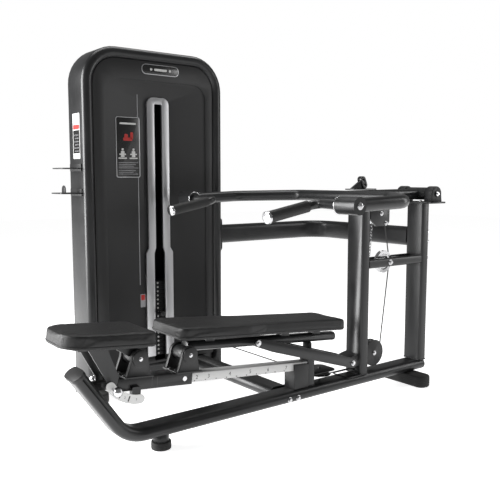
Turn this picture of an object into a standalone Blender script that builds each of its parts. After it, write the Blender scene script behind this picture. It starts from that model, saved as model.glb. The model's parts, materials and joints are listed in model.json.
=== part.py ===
"""A multi-press gym machine: weight tower, floor frame, press arm and a sliding bench on a numbered rail.

Metres, +Z up, +X from the seat end to the press arm's pivot, +Y from the bench to the weight tower.
The design frame has its zero on the floor under the front foot. At the end the whole machine is
centred over the origin.
"""

from math import atan2, cos, pi, radians, sin, tan

import bmesh
import bpy
from mathutils import Vector

for old in list(bpy.data.objects):
    bpy.data.objects.remove(old)

GAP = 0.0003

# Floor frame: flat oval tube lying on its side.
BEAM_WIDTH = 0.100
BEAM_HEIGHT = 0.050
BEAM_BOTTOM = 0.057
BEAM_TOP = BEAM_BOTTOM + BEAM_HEIGHT
BEAM_MID = BEAM_BOTTOM + BEAM_HEIGHT / 2
BEAM_END = 1.475
CROSS_X = 0.612

# Uprights and the pulley rails between them.
UPRIGHT_DEPTH = 0.050
UPRIGHT_WIDTH = 0.100
FRONT_UPRIGHT_X = 1.040
REAR_UPRIGHT_X = 1.455
FRONT_UPRIGHT_TOP = 0.860
REAR_UPRIGHT_TOP = 0.882
PULLEY_RAIL_Z = 0.612
PULLEY_RAIL_Y = 0.036

# Weight tower.
TOWER_X = 0.387
TOWER_HALF = 0.367
TOWER_TOP = 1.588
TOWER_CORNER = 0.165
TOWER_FRONT = 0.670
TOWER_DEPTH = 0.180
ARCH_WIDTH = 0.050
ARCH_CLEAR = 0.001
FOOT_HEIGHT = 0.045
PANEL_FRONT = TOWER_FRONT + 0.014
PANEL_THICK = 0.016
RECESS_DEPTH = 0.006
SLOT_X = 0.394
SLOT_TOP = 1.345
BEZEL_TOP = 1.375
BEZEL_STEP = 0.660
BEZEL_BOTTOM = 0.148

# Weight stack.
STACK_BOTTOM = 0.1400
PLATE_PITCH = 0.0204
RESTING_PLATES = 10
LIFTED_PLATES = 8
ROD_X = (SLOT_X - 0.105, SLOT_X + 0.105)
ROD_Y = 0.756
ROD_RADIUS = 0.0095

# Link tube from the tower to the rear upright.
LINK_Y = 0.730
LINK_Z = 0.716
LINK_HEIGHT = 0.095

# Press arm.
PIVOT = (REAR_UPRIGHT_X, 0.928)
ARM_RADIUS = 0.025
SLEEVE_X = 0.455
SLEEVE_Z = 0.908
SLEEVE_INNER = 0.462
SLEEVE_OUTER = 0.558
GRIP_END = (0.241, 0.322, 0.865)
ELBOW = (0.478, 0.325, 0.910)

# Pulleys and cable.
CABLE_RADIUS = 0.0028
HIGH_PULLEY = (1.205, PULLEY_RAIL_Z)
HIGH_GROOVE = 0.045
LOW_PULLEY = (1.138, 0.185)
LOW_GROOVE = 0.053
TURN_PULLEY = (0.845, 0.045)
TURN_GROOVE = 0.045
LOW_RUN_Z = LOW_PULLEY[1] - LOW_GROOVE
CABLE_ENTRY = (0.688, 0.706, 0.178)

# Guide rail, falling slightly towards the rear. Carriage parts use (u, y, w): along, across, above it.
RAIL_ZERO = 0.2635
RAIL_FALL = radians(5.2)
RAIL_HALF_WIDTH = 0.025
RAIL_HALF_HEIGHT = 0.018
RAIL_START = -0.205
SLEEVE_START = -0.190
SLEEVE_END = 0.118
SLEEVE_WALL_Y = 0.034
SLEEVE_LOW = -0.0225
SLEEVE_HIGH = 0.026
SEAT_HINGE = (-0.116, 0.094)
BACK_HINGE = (0.092, 0.093)

# Bench pads.
SEAT_START, SEAT_STOP = -0.425, -0.085
SEAT_LOW, SEAT_HIGH = 0.151, 0.203
SEAT_HALF = 0.122
BACK_START, BACK_STOP = 0.007, 0.852
BACK_LOW, BACK_HIGH = 0.163, 0.210
BACK_HALF_FRONT, BACK_HALF_REAR = 0.122, 0.106
WAIST_START, WAIST_STOP = 0.310, 0.410

# Support strut under the backrest: (x, z) of its two pins.
STRUT_FRONT = (0.415, 0.347)
STRUT_REAR = (0.955, 0.175)
STRUT_INNER, STRUT_OUTER = 0.047, 0.060


# Helpers: outlines, solids, placing and joining.

def arc(centre, radius, start, stop, steps):
    """Points on a circle from one angle to another, both included."""
    angles = [start + (stop - start) * i / steps for i in range(steps + 1)]
    return [(centre[0] + radius * cos(a), centre[1] + radius * sin(a)) for a in angles]


def circle(radius, sides=24, centre=(0.0, 0.0)):
    return arc(centre, radius, 0.0, 2 * pi * (sides - 1) / sides, sides - 1)


def rounded_box(low, high, radii, steps=4):
    """A rectangle's outline with rounded corners: radii go lower right, upper right, upper left, lower left."""
    if not isinstance(radii, tuple):
        radii = (radii,) * 4
    right, left = (high[0], 1), (low[0], -1)
    bottom, top = (low[1], -1), (high[1], 1)
    corners = ((right, bottom), (right, top), (left, top), (left, bottom))
    points = []
    for index, (((x, outward), (y, upward)), radius) in enumerate(zip(corners, radii)):
        centre = (x - outward * radius, y - upward * radius)
        start = (index - 1) * pi / 2
        points += arc(centre, radius, start, start + pi / 2, steps)
    return points


def oval(width, height, steps=6):
    """A flat oval tube's outline, centred."""
    radius = min(width, height) / 2 - 1e-5
    return rounded_box((-width / 2, -height / 2), (width / 2, height / 2), radius, steps)


def bar(start, stop, radius_start, radius_stop, steps=8):
    """The outline of a flat bar with round ends between two pins."""
    turn = atan2(stop[1] - start[1], stop[0] - start[0])
    far = arc(stop, radius_stop, turn - pi / 2, turn + pi / 2, steps)
    return far + arc(start, radius_start, turn + pi / 2, turn + 3 * pi / 2, steps)


def lug(centre, base_low, base_start, base_stop, radius, steps=10):
    """An ear's outline: a flat base and a round head around the hinge."""
    head = arc(centre, radius, radians(-10), radians(190), steps)
    return [(base_start, base_low), (base_stop, base_low)] + head


def fillet(points, radius, steps=6):
    """A path whose inner corners are turned into arcs."""
    corners = [Vector(p) for p in points]
    path = [corners[0]]
    for before, corner, after in zip(corners, corners[1:], corners[2:]):
        inward = (corner - before).normalized()
        outward = (after - corner).normalized()
        turn = inward.angle(outward)
        start = corner - inward * radius * tan(turn / 2)
        normal = (outward - inward * cos(turn)).normalized()
        for i in range(steps + 1):
            angle = turn * i / steps
            path.append(start + normal * radius * (1 - cos(angle)) + inward * radius * sin(angle))
    return path + [corners[-1]]


def prism(outline, low, high, plane):
    """An outline in one plane, drawn out from low to high along the axis that is left."""
    place = {
        "XY": lambda a, b, c: (a, b, c),
        "XZ": lambda a, b, c: (a, c, b),
        "YZ": lambda a, b, c: (c, a, b),
    }[plane]
    bm = bmesh.new()
    ends = [[bm.verts.new(place(a, b, c)) for a, b in outline] for c in (low, high)]
    bm.faces.new(ends[0])
    bm.faces.new(ends[1])
    for i in range(len(outline)):
        bm.faces.new((ends[0][i - 1], ends[0][i], ends[1][i], ends[1][i - 1]))
    return bm


def box(low, high):
    corners = ((low[0], low[1]), (high[0], low[1]), (high[0], high[1]), (low[0], high[1]))
    return prism(corners, low[2], high[2], "XY")


def rod(radius, start, stop, sides=20):
    """A straight round bar between two points."""
    return sweep([start, stop], circle(radius, sides))


def sweep(path, outline, side=None):
    """An outline carried along a path. Its first axis lies along side, its second across the path."""
    points = [Vector(p) for p in path]
    if side is None:
        run = (points[1] - points[0]).normalized()
        side = run.orthogonal()
    side = Vector(side).normalized()
    bm = bmesh.new()
    rings = []
    for i, point in enumerate(points):
        ahead = points[min(i + 1, len(points) - 1)] - point
        behind = point - points[max(i - 1, 0)]
        tangent = (ahead.normalized() + behind.normalized()).normalized()
        across = side.cross(tangent).normalized()
        rings.append([bm.verts.new(point + side * a + across * b) for a, b in outline])
    bm.faces.new(rings[0])
    bm.faces.new(rings[-1])
    for near, far in zip(rings, rings[1:]):
        for i in range(len(outline)):
            bm.faces.new((near[i - 1], near[i], far[i], far[i - 1]))
    return bm


def turned(profile, axis, centre, sides=28):
    """A solid or ring turned about an axis, from a closed profile of (radius, height) points."""
    across = {"Y": (0, 0, 1), "Z": (0, 1, 0)}[axis]
    along = {"Y": (0, 1, 0), "Z": (0, 0, 1)}[axis]
    first, second, along = Vector((1, 0, 0)), Vector(across), Vector(along)
    bm = bmesh.new()
    rings = []
    for i in range(sides):
        angle = 2 * pi * i / sides
        out = first * cos(angle) + second * sin(angle)
        rings.append([bm.verts.new(Vector(centre) + out * r + along * h) for r, h in profile])
    for i in range(sides):
        for j in range(len(profile)):
            bm.faces.new((rings[i - 1][j - 1], rings[i - 1][j], rings[i][j], rings[i][j - 1]))
    return bm


def material(name, colour, roughness, metallic):
    """A plain Principled BSDF finish."""
    finish = bpy.data.materials.new(name)
    finish.use_nodes = True
    shader = finish.node_tree.nodes["Principled BSDF"]
    shader.inputs["Base Color"].default_value = (*colour, 1.0)
    shader.inputs["Roughness"].default_value = roughness
    shader.inputs["Metallic"].default_value = metallic
    return finish


def add(name, bm, finish, parent, origin=(0.0, 0.0, 0.0)):
    """Makes a named object of a closed mesh, with its origin moved to a point, such as its joint's axis."""
    bmesh.ops.recalc_face_normals(bm, faces=bm.faces)
    bmesh.ops.translate(bm, verts=bm.verts, vec=-Vector(origin))
    mesh = bpy.data.meshes.new(name)
    bm.to_mesh(mesh)
    bm.free()
    mesh.shade_smooth()
    mesh.set_sharp_from_angle(angle=radians(35))
    mesh.materials.append(finish)
    piece = bpy.data.objects.new(name, mesh)
    bpy.context.scene.collection.objects.link(piece)
    piece.parent = parent
    piece.location = origin
    return piece


def combine(target, bm, operation):
    """Joins a solid to an object, or cuts it away, with an exact Boolean."""
    name = f"{target.name}_{operation.lower()}_{len(target.modifiers)}"
    tool = add(name, bm, target.data.materials[0], target.parent)
    tool.hide_render = True
    tool.display_type = "WIRE"
    modifier = target.modifiers.new(operation.title(), "BOOLEAN")
    modifier.operation = operation
    modifier.solver = "EXACT"
    modifier.object = tool


def join(target, *solids):
    for solid in solids:
        combine(target, solid, "UNION")


def cut(target, *solids):
    for solid in solids:
        combine(target, solid, "DIFFERENCE")


def soften(piece, width, segments=2):
    """Rounds a piece's hard edges."""
    bevel = piece.modifiers.new("Soft edges", "BEVEL")
    bevel.width = width
    bevel.segments = segments
    bevel.limit_method = "ANGLE"
    bevel.angle_limit = radians(50)


def on_rail(u, w):
    """World x and z of a point u along the guide rail and w above its centre line."""
    return (u * cos(RAIL_FALL) + w * sin(RAIL_FALL), RAIL_ZERO - u * sin(RAIL_FALL) + w * cos(RAIL_FALL))


# Finishes.
FRAME_PAINT = material("frame_paint", (0.075, 0.077, 0.082), 0.42, 0.35)
PANEL_BLACK = material("panel_black", (0.028, 0.028, 0.030), 0.50, 0.0)
BLACK_PLASTIC = material("black_plastic", (0.016, 0.016, 0.017), 0.55, 0.0)
RUBBER = material("rubber", (0.012, 0.012, 0.012), 0.80, 0.0)
CHROME = material("chrome", (0.80, 0.80, 0.80), 0.12, 1.0)
WHITE_PAINT = material("white_paint", (0.80, 0.80, 0.79), 0.40, 0.0)
CAST_IRON = material("cast_iron", (0.030, 0.030, 0.032), 0.60, 0.4)
VINYL = material("vinyl", (0.018, 0.018, 0.019), 0.50, 0.0)

machine = bpy.data.objects.new("machine", None)
bpy.context.scene.collection.objects.link(machine)

rail_frame = bpy.data.objects.new("rail_frame", None)
bpy.context.scene.collection.objects.link(rail_frame)
rail_frame.parent = machine
rail_frame.location = (0.0, 0.0, RAIL_ZERO)
rail_frame.rotation_euler = (0.0, RAIL_FALL, 0.0)


# Floor frame. The long beam turns up at the seat end, where its upper end carries the guide rail.

def floor_frame():
    rise = radians(55)
    turn_x = -0.151
    end = (turn_x - 0.304 * cos(rise), 0.0, BEAM_MID + 0.304 * sin(rise))
    path = fillet([(BEAM_END, 0.0, BEAM_MID), (turn_x, 0.0, BEAM_MID), end], 0.130, 8)
    beam = add("main_beam", sweep(path, oval(BEAM_WIDTH, BEAM_HEIGHT), (0, 1, 0)), FRAME_PAINT, machine)
    stub_bottom = 0.030 + GAP
    join(beam, rod(0.030, (0, 0, stub_bottom), (0, 0, BEAM_MID)))
    neck_start, neck_stop, neck_half = -0.292, RAIL_START - GAP, 0.013
    neck = ((neck_start, -neck_half), (neck_stop, -neck_half), (neck_stop, neck_half), (neck_start, neck_half))
    join(beam, prism([on_rail(u, w) for u, w in neck], -0.018, 0.018, "XZ"))

    along = Vector((-cos(rise), 0.0, sin(rise)))
    cap_start = Vector(end) + along * GAP
    cap_path = [cap_start, cap_start + along * 0.008, cap_start + along * 0.014]
    cap = sweep(cap_path, oval(BEAM_WIDTH + 0.004, BEAM_HEIGHT + 0.004), (0, 1, 0))
    add("beam_cap", cap, BLACK_PLASTIC, machine)

    foot = rod(0.0375, (0, 0, 0.0), (0, 0, 0.030), 28)
    soften(add("front_foot", foot, RUBBER, machine), 0.003)
    rear = rounded_box((1.340, -0.140), (1.422, 0.140), 0.036, 5)
    soften(add("rear_foot", prism(rear, 0.0, BEAM_BOTTOM - GAP, "XY"), RUBBER, machine), 0.008)

    cross_path = [(CROSS_X, BEAM_WIDTH / 2 + GAP, BEAM_MID), (CROSS_X, TOWER_FRONT + 0.06, BEAM_MID)]
    cross = add("cross_beam", sweep(cross_path, oval(BEAM_HEIGHT, BEAM_WIDTH), (0, 0, 1)), FRAME_PAINT, machine)
    inner = TOWER_HALF - ARCH_WIDTH - GAP
    base_low = (TOWER_X - inner, TOWER_FRONT + 0.030, BEAM_BOTTOM - 0.006)
    join(cross, box(base_low, (TOWER_X + inner, TOWER_FRONT + 0.150, BEAM_TOP + 0.006)))


def uprights():
    half_depth, half_width = UPRIGHT_DEPTH / 2, UPRIGHT_WIDTH / 2
    front_low = (FRONT_UPRIGHT_X - half_depth, -half_width)
    front_high = (FRONT_UPRIGHT_X + half_depth, half_width)
    front = rounded_box(front_low, front_high, 0.010, 3)
    post = add("front_upright", prism(front, BEAM_TOP + GAP, FRONT_UPRIGHT_TOP, "XY"), FRAME_PAINT, machine)
    lug_outline = [(FRONT_UPRIGHT_X, 0.150), (FRONT_UPRIGHT_X, 0.210), (STRUT_REAR[0] + 0.02, 0.200)]
    lug_outline += arc(STRUT_REAR, 0.020, radians(80), radians(280), 6) + [(STRUT_REAR[0] + 0.02, 0.150)]
    join(post, prism(lug_outline, -0.040, 0.040, "XZ"))
    passage_low = (FRONT_UPRIGHT_X - 0.2, -0.012, LOW_RUN_Z - 0.010)
    cut(post, box(passage_low, (FRONT_UPRIGHT_X + 0.2, 0.012, LOW_RUN_Z + 0.010)))

    rear = rounded_box((REAR_UPRIGHT_X - half_depth, -half_width), (BEAM_END + 0.005, half_width), 0.010, 3)
    add("rear_upright", prism(rear, BEAM_TOP + GAP, REAR_UPRIGHT_TOP, "XY"), FRAME_PAINT, machine)

    start = FRONT_UPRIGHT_X + half_depth + GAP
    stop = REAR_UPRIGHT_X - half_depth - GAP
    for name, y in (("pulley_rail_near", -PULLEY_RAIL_Y), ("pulley_rail_far", PULLEY_RAIL_Y)):
        path = [(start, y, PULLEY_RAIL_Z), (stop, y, PULLEY_RAIL_Z)]
        add(name, sweep(path, oval(0.024, 0.042), (0, 1, 0)), FRAME_PAINT, machine)

    stop_top = on_spine(FRONT_UPRIGHT_X) - ARM_RADIUS - 0.001
    stop_rod = rod(0.020, (FRONT_UPRIGHT_X, 0, FRONT_UPRIGHT_TOP + GAP), (FRONT_UPRIGHT_X, 0, stop_top))
    soften(add("arm_stop", stop_rod, RUBBER, machine), 0.003)


def link_tube():
    """A deep oval tube that ties the tower to the rear upright, with its bolted flange at the tower."""
    tower_face = TOWER_X + TOWER_HALF + GAP
    upright_face = UPRIGHT_WIDTH / 2 + GAP
    corner = (REAR_UPRIGHT_X, LINK_Y, LINK_Z)
    ends = ((tower_face + 0.004, LINK_Y, LINK_Z), (REAR_UPRIGHT_X, upright_face, LINK_Z))
    path = fillet([ends[0], corner, ends[1]], 0.120, 8)
    tube = add("link_tube", sweep(path, oval(LINK_HEIGHT, 0.050), (0, 0, 1)), FRAME_PAINT, machine)
    flange = rounded_box((LINK_Y - 0.045, LINK_Z - 0.090), (LINK_Y + 0.045, LINK_Z + 0.090), 0.030, 4)
    join(tube, prism(flange, tower_face, tower_face + 0.008, "YZ"))


def rail_and_post():
    """The numbered guide rail, its bracket on the beam, and the post that the backrest lies on."""
    post_front, post_rear = 0.710, 0.750
    tube_low = on_rail(0.735, 0.100)[1]
    post = rounded_box((post_front, -0.030), (post_rear, 0.030), 0.008, 3)
    add("rail_post", prism(post, BEAM_TOP + GAP, tube_low - 0.034, "XY"), FRAME_PAINT, machine)
    middle = (post_front + post_rear) / 2
    bumper = rod(0.019, (middle, 0, tube_low - 0.034 + GAP), (middle, 0, tube_low - 0.002))
    soften(add("post_bumper", bumper, RUBBER, machine), 0.004)

    stop = (post_front - GAP - RAIL_HALF_HEIGHT * sin(RAIL_FALL)) / cos(RAIL_FALL)
    rail_box = rounded_box((-RAIL_HALF_WIDTH, -RAIL_HALF_HEIGHT), (RAIL_HALF_WIDTH, RAIL_HALF_HEIGHT), 0.003, 2)
    add("guide_rail", prism(rail_box, RAIL_START, stop, "YZ"), WHITE_PAINT, rail_frame)

    front, rear = 0.629, post_front - GAP
    top_front, top_rear = on_rail(front, 0.010)[1], on_rail(rear, 0.010)[1]
    outline = [(front, BEAM_TOP + GAP), (rear, BEAM_TOP + GAP), (rear, top_rear), (front, top_front)]
    bracket = add("rail_bracket", prism(outline, -0.033, 0.033, "XZ"), BLACK_PLASTIC, machine)
    low = -RAIL_HALF_HEIGHT - GAP
    channel = [on_rail(u, w) for u, w in ((0.55, low), (0.80, low), (0.80, 0.10), (0.55, 0.10))]
    cut(bracket, prism(channel, -RAIL_HALF_WIDTH - GAP, RAIL_HALF_WIDTH + GAP, "XZ"))


# Weight tower.

def tower_shape(inset, bottom, steps=8):
    """The tower's front outline, drawn in by inset, from its bottom up."""
    low = (TOWER_X - TOWER_HALF + inset, bottom)
    high = (TOWER_X + TOWER_HALF - inset, TOWER_TOP - inset)
    corner = TOWER_CORNER - inset
    return rounded_box(low, high, (0.004, corner, corner, 0.004), steps)


def tower():
    middle = ARCH_WIDTH / 2
    left, right, top = TOWER_X - TOWER_HALF + middle, TOWER_X + TOWER_HALF - middle, TOWER_TOP - middle
    y = TOWER_FRONT + TOWER_DEPTH / 2
    corners = [(left, y, FOOT_HEIGHT + GAP), (left, y, top), (right, y, top), (right, y, FOOT_HEIGHT + GAP)]
    path = fillet(corners, TOWER_CORNER - middle, 10)
    outline = rounded_box((-TOWER_DEPTH / 2, -middle), (TOWER_DEPTH / 2, middle), 0.022, 4)
    add("tower_arch", sweep(path, outline, (0, 1, 0)), FRAME_PAINT, machine)
    for name, x in (("tower_foot_left", left), ("tower_foot_right", right)):
        foot = rounded_box((x - 0.034, TOWER_FRONT - 0.090), (x + 0.034, TOWER_FRONT + TOWER_DEPTH), 0.033, 5)
        soften(add(name, prism(foot, 0.0, FOOT_HEIGHT, "XY"), RUBBER, machine), 0.006)

    panel_bottom = BEAM_TOP + 0.006 + GAP
    panel_back = PANEL_FRONT + PANEL_THICK
    shape = tower_shape(ARCH_WIDTH + ARCH_CLEAR, panel_bottom)
    panel = add("tower_panel", prism(shape, PANEL_FRONT, panel_back, "XZ"), PANEL_BLACK, machine)
    recess = rounded_box((TOWER_X - 0.262, 0.135), (TOWER_X + 0.275, 1.450), (0.01, 0.070, 0.070, 0.01), 6)
    cut(panel, prism(recess, PANEL_FRONT - 0.01, PANEL_FRONT + RECESS_DEPTH, "XZ"))
    cut(panel, prism(slot_shape(0.0025, 0.124), PANEL_FRONT - 0.01, panel_back + 0.01, "XZ"))
    entry_low = (CABLE_ENTRY[0] - 0.014, PANEL_FRONT - 0.01, CABLE_ENTRY[2] - 0.012)
    cut(panel, box(entry_low, (CABLE_ENTRY[0] + 0.05, panel_back + 0.01, CABLE_ENTRY[2] + 0.012)))
    back = prism(shape, TOWER_FRONT + 0.155, TOWER_FRONT + 0.163, "XZ")
    add("tower_back", back, PANEL_BLACK, machine)

    floor = PANEL_FRONT + RECESS_DEPTH - GAP
    bezel = add("slot_bezel", prism(bezel_shape(), floor - 0.012, floor, "XZ"), CHROME, machine)
    cut(bezel, prism(slot_shape(0.0, 0.05), floor - 0.03, floor + 0.02, "XZ"))


def stepped(narrow, wide, bottom, top, radius):
    """The slot's outline: narrow above, a short slope, and wider below."""
    shoulder = 0.012
    upper, lower = BEZEL_STEP + shoulder, BEZEL_STEP - shoulder
    legs = [(SLOT_X - narrow, upper), (SLOT_X - wide, lower), (SLOT_X - wide, bottom)]
    legs += [(SLOT_X + wide, bottom), (SLOT_X + wide, lower), (SLOT_X + narrow, upper)]
    crown = arc((SLOT_X + narrow - radius, top - radius), radius, 0.0, pi / 2, 5)
    crown += arc((SLOT_X - narrow + radius, top - radius), radius, pi / 2, pi, 5)
    return legs + crown


def bezel_shape():
    return stepped(0.058, 0.0725, BEZEL_BOTTOM, BEZEL_TOP, 0.032)


def slot_shape(margin, bottom):
    return stepped(0.020 + margin, 0.029 + margin, bottom, SLOT_TOP + margin, 0.006)


def plates(count, bottom):
    """A block of weight plates, its front and back faces grooved between one plate and the next."""
    front, rear, groove = 0.712, 0.800, 0.0012
    right, left = [], []
    for i in range(count):
        low = bottom + i * PLATE_PITCH
        high = low + PLATE_PITCH
        right += [(rear - groove, low), (rear, low + groove), (rear, high - groove)]
        left = [(front, high - groove), (front, low + groove), (front + groove, low)] + left
    top = bottom + count * PLATE_PITCH
    return right + [(rear - groove, top), (front + groove, top)] + left


def weight_stack():
    half = 0.145
    split = STACK_BOTTOM + RESTING_PLATES * PLATE_PITCH
    lifted_bottom = split + GAP
    lifted_top = lifted_bottom + LIFTED_PLATES * PLATE_PITCH
    low, high = SLOT_X - half, SLOT_X + half
    resting_shape = prism(plates(RESTING_PLATES, STACK_BOTTOM), low, high, "YZ")
    resting = add("stack_resting", resting_shape, CAST_IRON, machine)
    lifted_shape = prism(plates(LIFTED_PLATES, lifted_bottom), low, high, "YZ")
    lifted = add("stack_lifted", lifted_shape, CAST_IRON, machine)
    join(lifted, rod(0.008, (SLOT_X, ROD_Y, lifted_top - 0.01), (SLOT_X, ROD_Y, lifted_top + 0.085), 12))
    rod_bottom = BEAM_TOP + 0.006 + GAP
    for name, x in zip(("guide_rod_left", "guide_rod_right"), ROD_X):
        hole = ROD_RADIUS + 0.001
        cut(resting, rod(hole, (x, ROD_Y, 0.1), (x, ROD_Y, split + 0.05), 14))
        cut(lifted, rod(hole, (x, ROD_Y, 0.3), (x, ROD_Y, lifted_top + 0.05), 14))
        add(name, rod(ROD_RADIUS, (x, ROD_Y, rod_bottom), (x, ROD_Y, 1.45), 14), CHROME, machine)

    pin_z = lifted_bottom + PLATE_PITCH / 2
    pin = rod(0.004, (SLOT_X, 0.712 - GAP, pin_z), (SLOT_X, 0.672, pin_z), 12)
    selector = add("selector_pin", pin, BLACK_PLASTIC, machine)
    join(selector, rod(0.012, (SLOT_X, 0.654, pin_z), (SLOT_X, 0.676, pin_z), 16))


def trays():
    """Two small shelves for accessories on the tower's left side, the lower one with a rounded end stop."""
    face = TOWER_X - TOWER_HALF - GAP
    for name, z, reach in (("tray_upper", 1.045, 0.090), ("tray_lower", 0.935, 0.098)):
        low, high = (face - reach, TOWER_FRONT + 0.030), (face, TOWER_FRONT + 0.160)
        outline = rounded_box(low, high, (0.001, 0.001, 0.02, 0.02), 4)
        tray = add(name, prism(outline, z - 0.0025, z + 0.0025, "XY"), BLACK_PLASTIC, machine)
        tab = [(face - 0.004, z - 0.012), (face, z - 0.012), (face, z + 0.020), (face - 0.004, z + 0.020)]
        join(tray, prism(tab, TOWER_FRONT + 0.034, TOWER_FRONT + 0.156, "XZ"))
        if name == "tray_lower":
            dome = [(TOWER_FRONT + 0.075, z)] + arc((TOWER_FRONT + 0.095, z + 0.015), 0.020, pi, 0.0, 8)
            dome += [(TOWER_FRONT + 0.115, z)]
            join(tray, prism(dome, face - 0.062, face - 0.058, "YZ"))


# Press arm.

def pivot_seat():
    """The plate on the rear upright and its two bearing blocks."""
    plate = rounded_box((REAR_UPRIGHT_X - 0.060, -0.125), (REAR_UPRIGHT_X + 0.050, 0.125), 0.006, 2)
    top = REAR_UPRIGHT_TOP + GAP + 0.008
    add("pivot_plate", prism(plate, REAR_UPRIGHT_TOP + GAP, top, "XY"), FRAME_PAINT, machine)
    for name, side in (("bearing_block_near", -1), ("bearing_block_far", 1)):
        inner, outer = side * 0.064, side * 0.108
        ear = lug(PIVOT, top + GAP, PIVOT[0] - 0.040, PIVOT[0] + 0.040, 0.036)
        block = add(name, prism(ear, min(inner, outer), max(inner, outer), "XZ"), CAST_IRON, machine)
        cut(block, rod(0.0125 + GAP, (PIVOT[0], side * 0.02, PIVOT[1]), (PIVOT[0], side * 0.2, PIVOT[1]), 20))


def press_arm():
    axis = (PIVOT[0], 0.0, PIVOT[1])
    half = [(SLEEVE_X, 0.510, SLEEVE_Z), (0.734, 0.511, 0.917), (0.931, 0.284, 0.923)]
    corners = [(x, -y, z) for x, y, z in half] + half[::-1]
    path = fillet(corners, 0.075, 5)
    frame = add("arm_frame", sweep(path, circle(ARM_RADIUS, 20), (0, 0, 1)), FRAME_PAINT, machine, axis)
    cross_x, cross_z = half[-1][0], half[-1][2]
    join(frame, rod(ARM_RADIUS - 0.0007, (cross_x, 0, cross_z), (PIVOT[0], 0, PIVOT[1]), 20))
    join(frame, rod(0.030, (PIVOT[0], -0.058, PIVOT[1]), (PIVOT[0], 0.058, PIVOT[1]), 24))
    join(frame, rod(0.0125, (PIVOT[0], -0.112, PIVOT[1]), (PIVOT[0], 0.112, PIVOT[1]), 20))
    for side in (-1, 1):
        ends = [(SLEEVE_X, side * y, SLEEVE_Z) for y in (SLEEVE_INNER, SLEEVE_OUTER)]
        join(frame, rod(0.031, ends[0], ends[1], 24))

    outline = [(1.110, 0.872), (1.240, 0.876), (1.240, 0.800), (1.225, 0.780), (1.150, 0.780), (1.110, 0.815)]
    lever = add("lever_plate", prism(outline, -0.006, 0.006, "XZ"), FRAME_PAINT, machine, axis)
    start, stop = 1.0, 1.35
    cut(lever, rod(ARM_RADIUS + GAP, (start, 0, on_spine(start)), (stop, 0, on_spine(stop)), 20))

    plate_stop = 1.122
    plate_top = on_spine(plate_stop) + ARM_RADIUS + 0.0055
    base = rounded_box((0.975, -0.030), (plate_stop, 0.030), 0.006, 2)
    bracket = add("handle_bracket", prism(base, plate_top - 0.005, plate_top, "XY"), FRAME_PAINT, machine, axis)
    gusset = [(0.978, plate_top - 0.003), (1.075, plate_top - 0.003), (1.060, 0.992), (1.042, 0.992)]
    join(bracket, prism(gusset, -0.005, 0.005, "XZ"))
    low, high = (1.063, plate_top + 0.0155), (1.052, 0.996)
    join(bracket, prism(bar(low, high, 0.015, 0.015), -0.012, 0.012, "XZ"))
    for step in (0.1, 1.0):
        x, z = (low[i] + (high[i] - low[i]) * step for i in (0, 1))
        cut(bracket, rod(0.005, (x, -0.05, z), (x, 0.05, z), 12))

    chain_top = (1.125, 0, 0.796)
    links = rod(0.0045, chain_top, (1.113, 0, PULLEY_RAIL_Z + 0.030), 8)
    add("stop_chain", links, CHROME, machine, chain_top)


def on_spine(x):
    """Height of the press arm's spine at x."""
    cross_x, cross_z = 0.931, 0.923
    return cross_z + (PIVOT[1] - cross_z) * (x - cross_x) / (PIVOT[0] - cross_x)


def handles():
    """The two handles turn in the arm's end sleeves and reach inwards, then forwards to the grips."""
    for side, word in ((-1, "near"), (1, "far")):
        axis = (SLEEVE_X, side * SLEEVE_INNER, SLEEVE_Z)
        start = Vector((SLEEVE_X, side * (SLEEVE_INNER - GAP), SLEEVE_Z))
        elbow = Vector((ELBOW[0], side * ELBOW[1], ELBOW[2]))
        tip = Vector((GRIP_END[0], side * GRIP_END[1], GRIP_END[2]))
        reach = (tip - elbow).normalized()
        grip_stop = tip - reach * 0.012
        normal = (elbow - start).cross(tip - elbow)
        neck = start - Vector((0, side * 0.016, 0))
        path = fillet([start, neck, elbow, grip_stop - reach * GAP], 0.032, 4)
        handle = add(f"handle_{word}", sweep(path, circle(0.0165, 16), normal), FRAME_PAINT, machine, axis)
        join(handle, rod(0.0215, elbow + reach * 0.050, grip_stop - reach * GAP, 20))
        add(f"grip_cap_{word}", rod(0.0225, grip_stop, tip, 24), CHROME, machine, axis)


# Pulleys and cable.

def wheel(name, centre, axis, groove, finish):
    """A grooved cable wheel."""
    bore, half_width, floor_half = 0.0063, 0.010, 0.0015
    rim = groove + 0.007
    floor = groove - CABLE_RADIUS - 2 * GAP
    profile = [(bore, -half_width), (rim, -half_width), (floor, -floor_half)]
    profile += [(floor, floor_half), (rim, half_width), (bore, half_width)]
    add(name, turned(profile, axis, centre, 20), finish, machine, centre)


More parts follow.
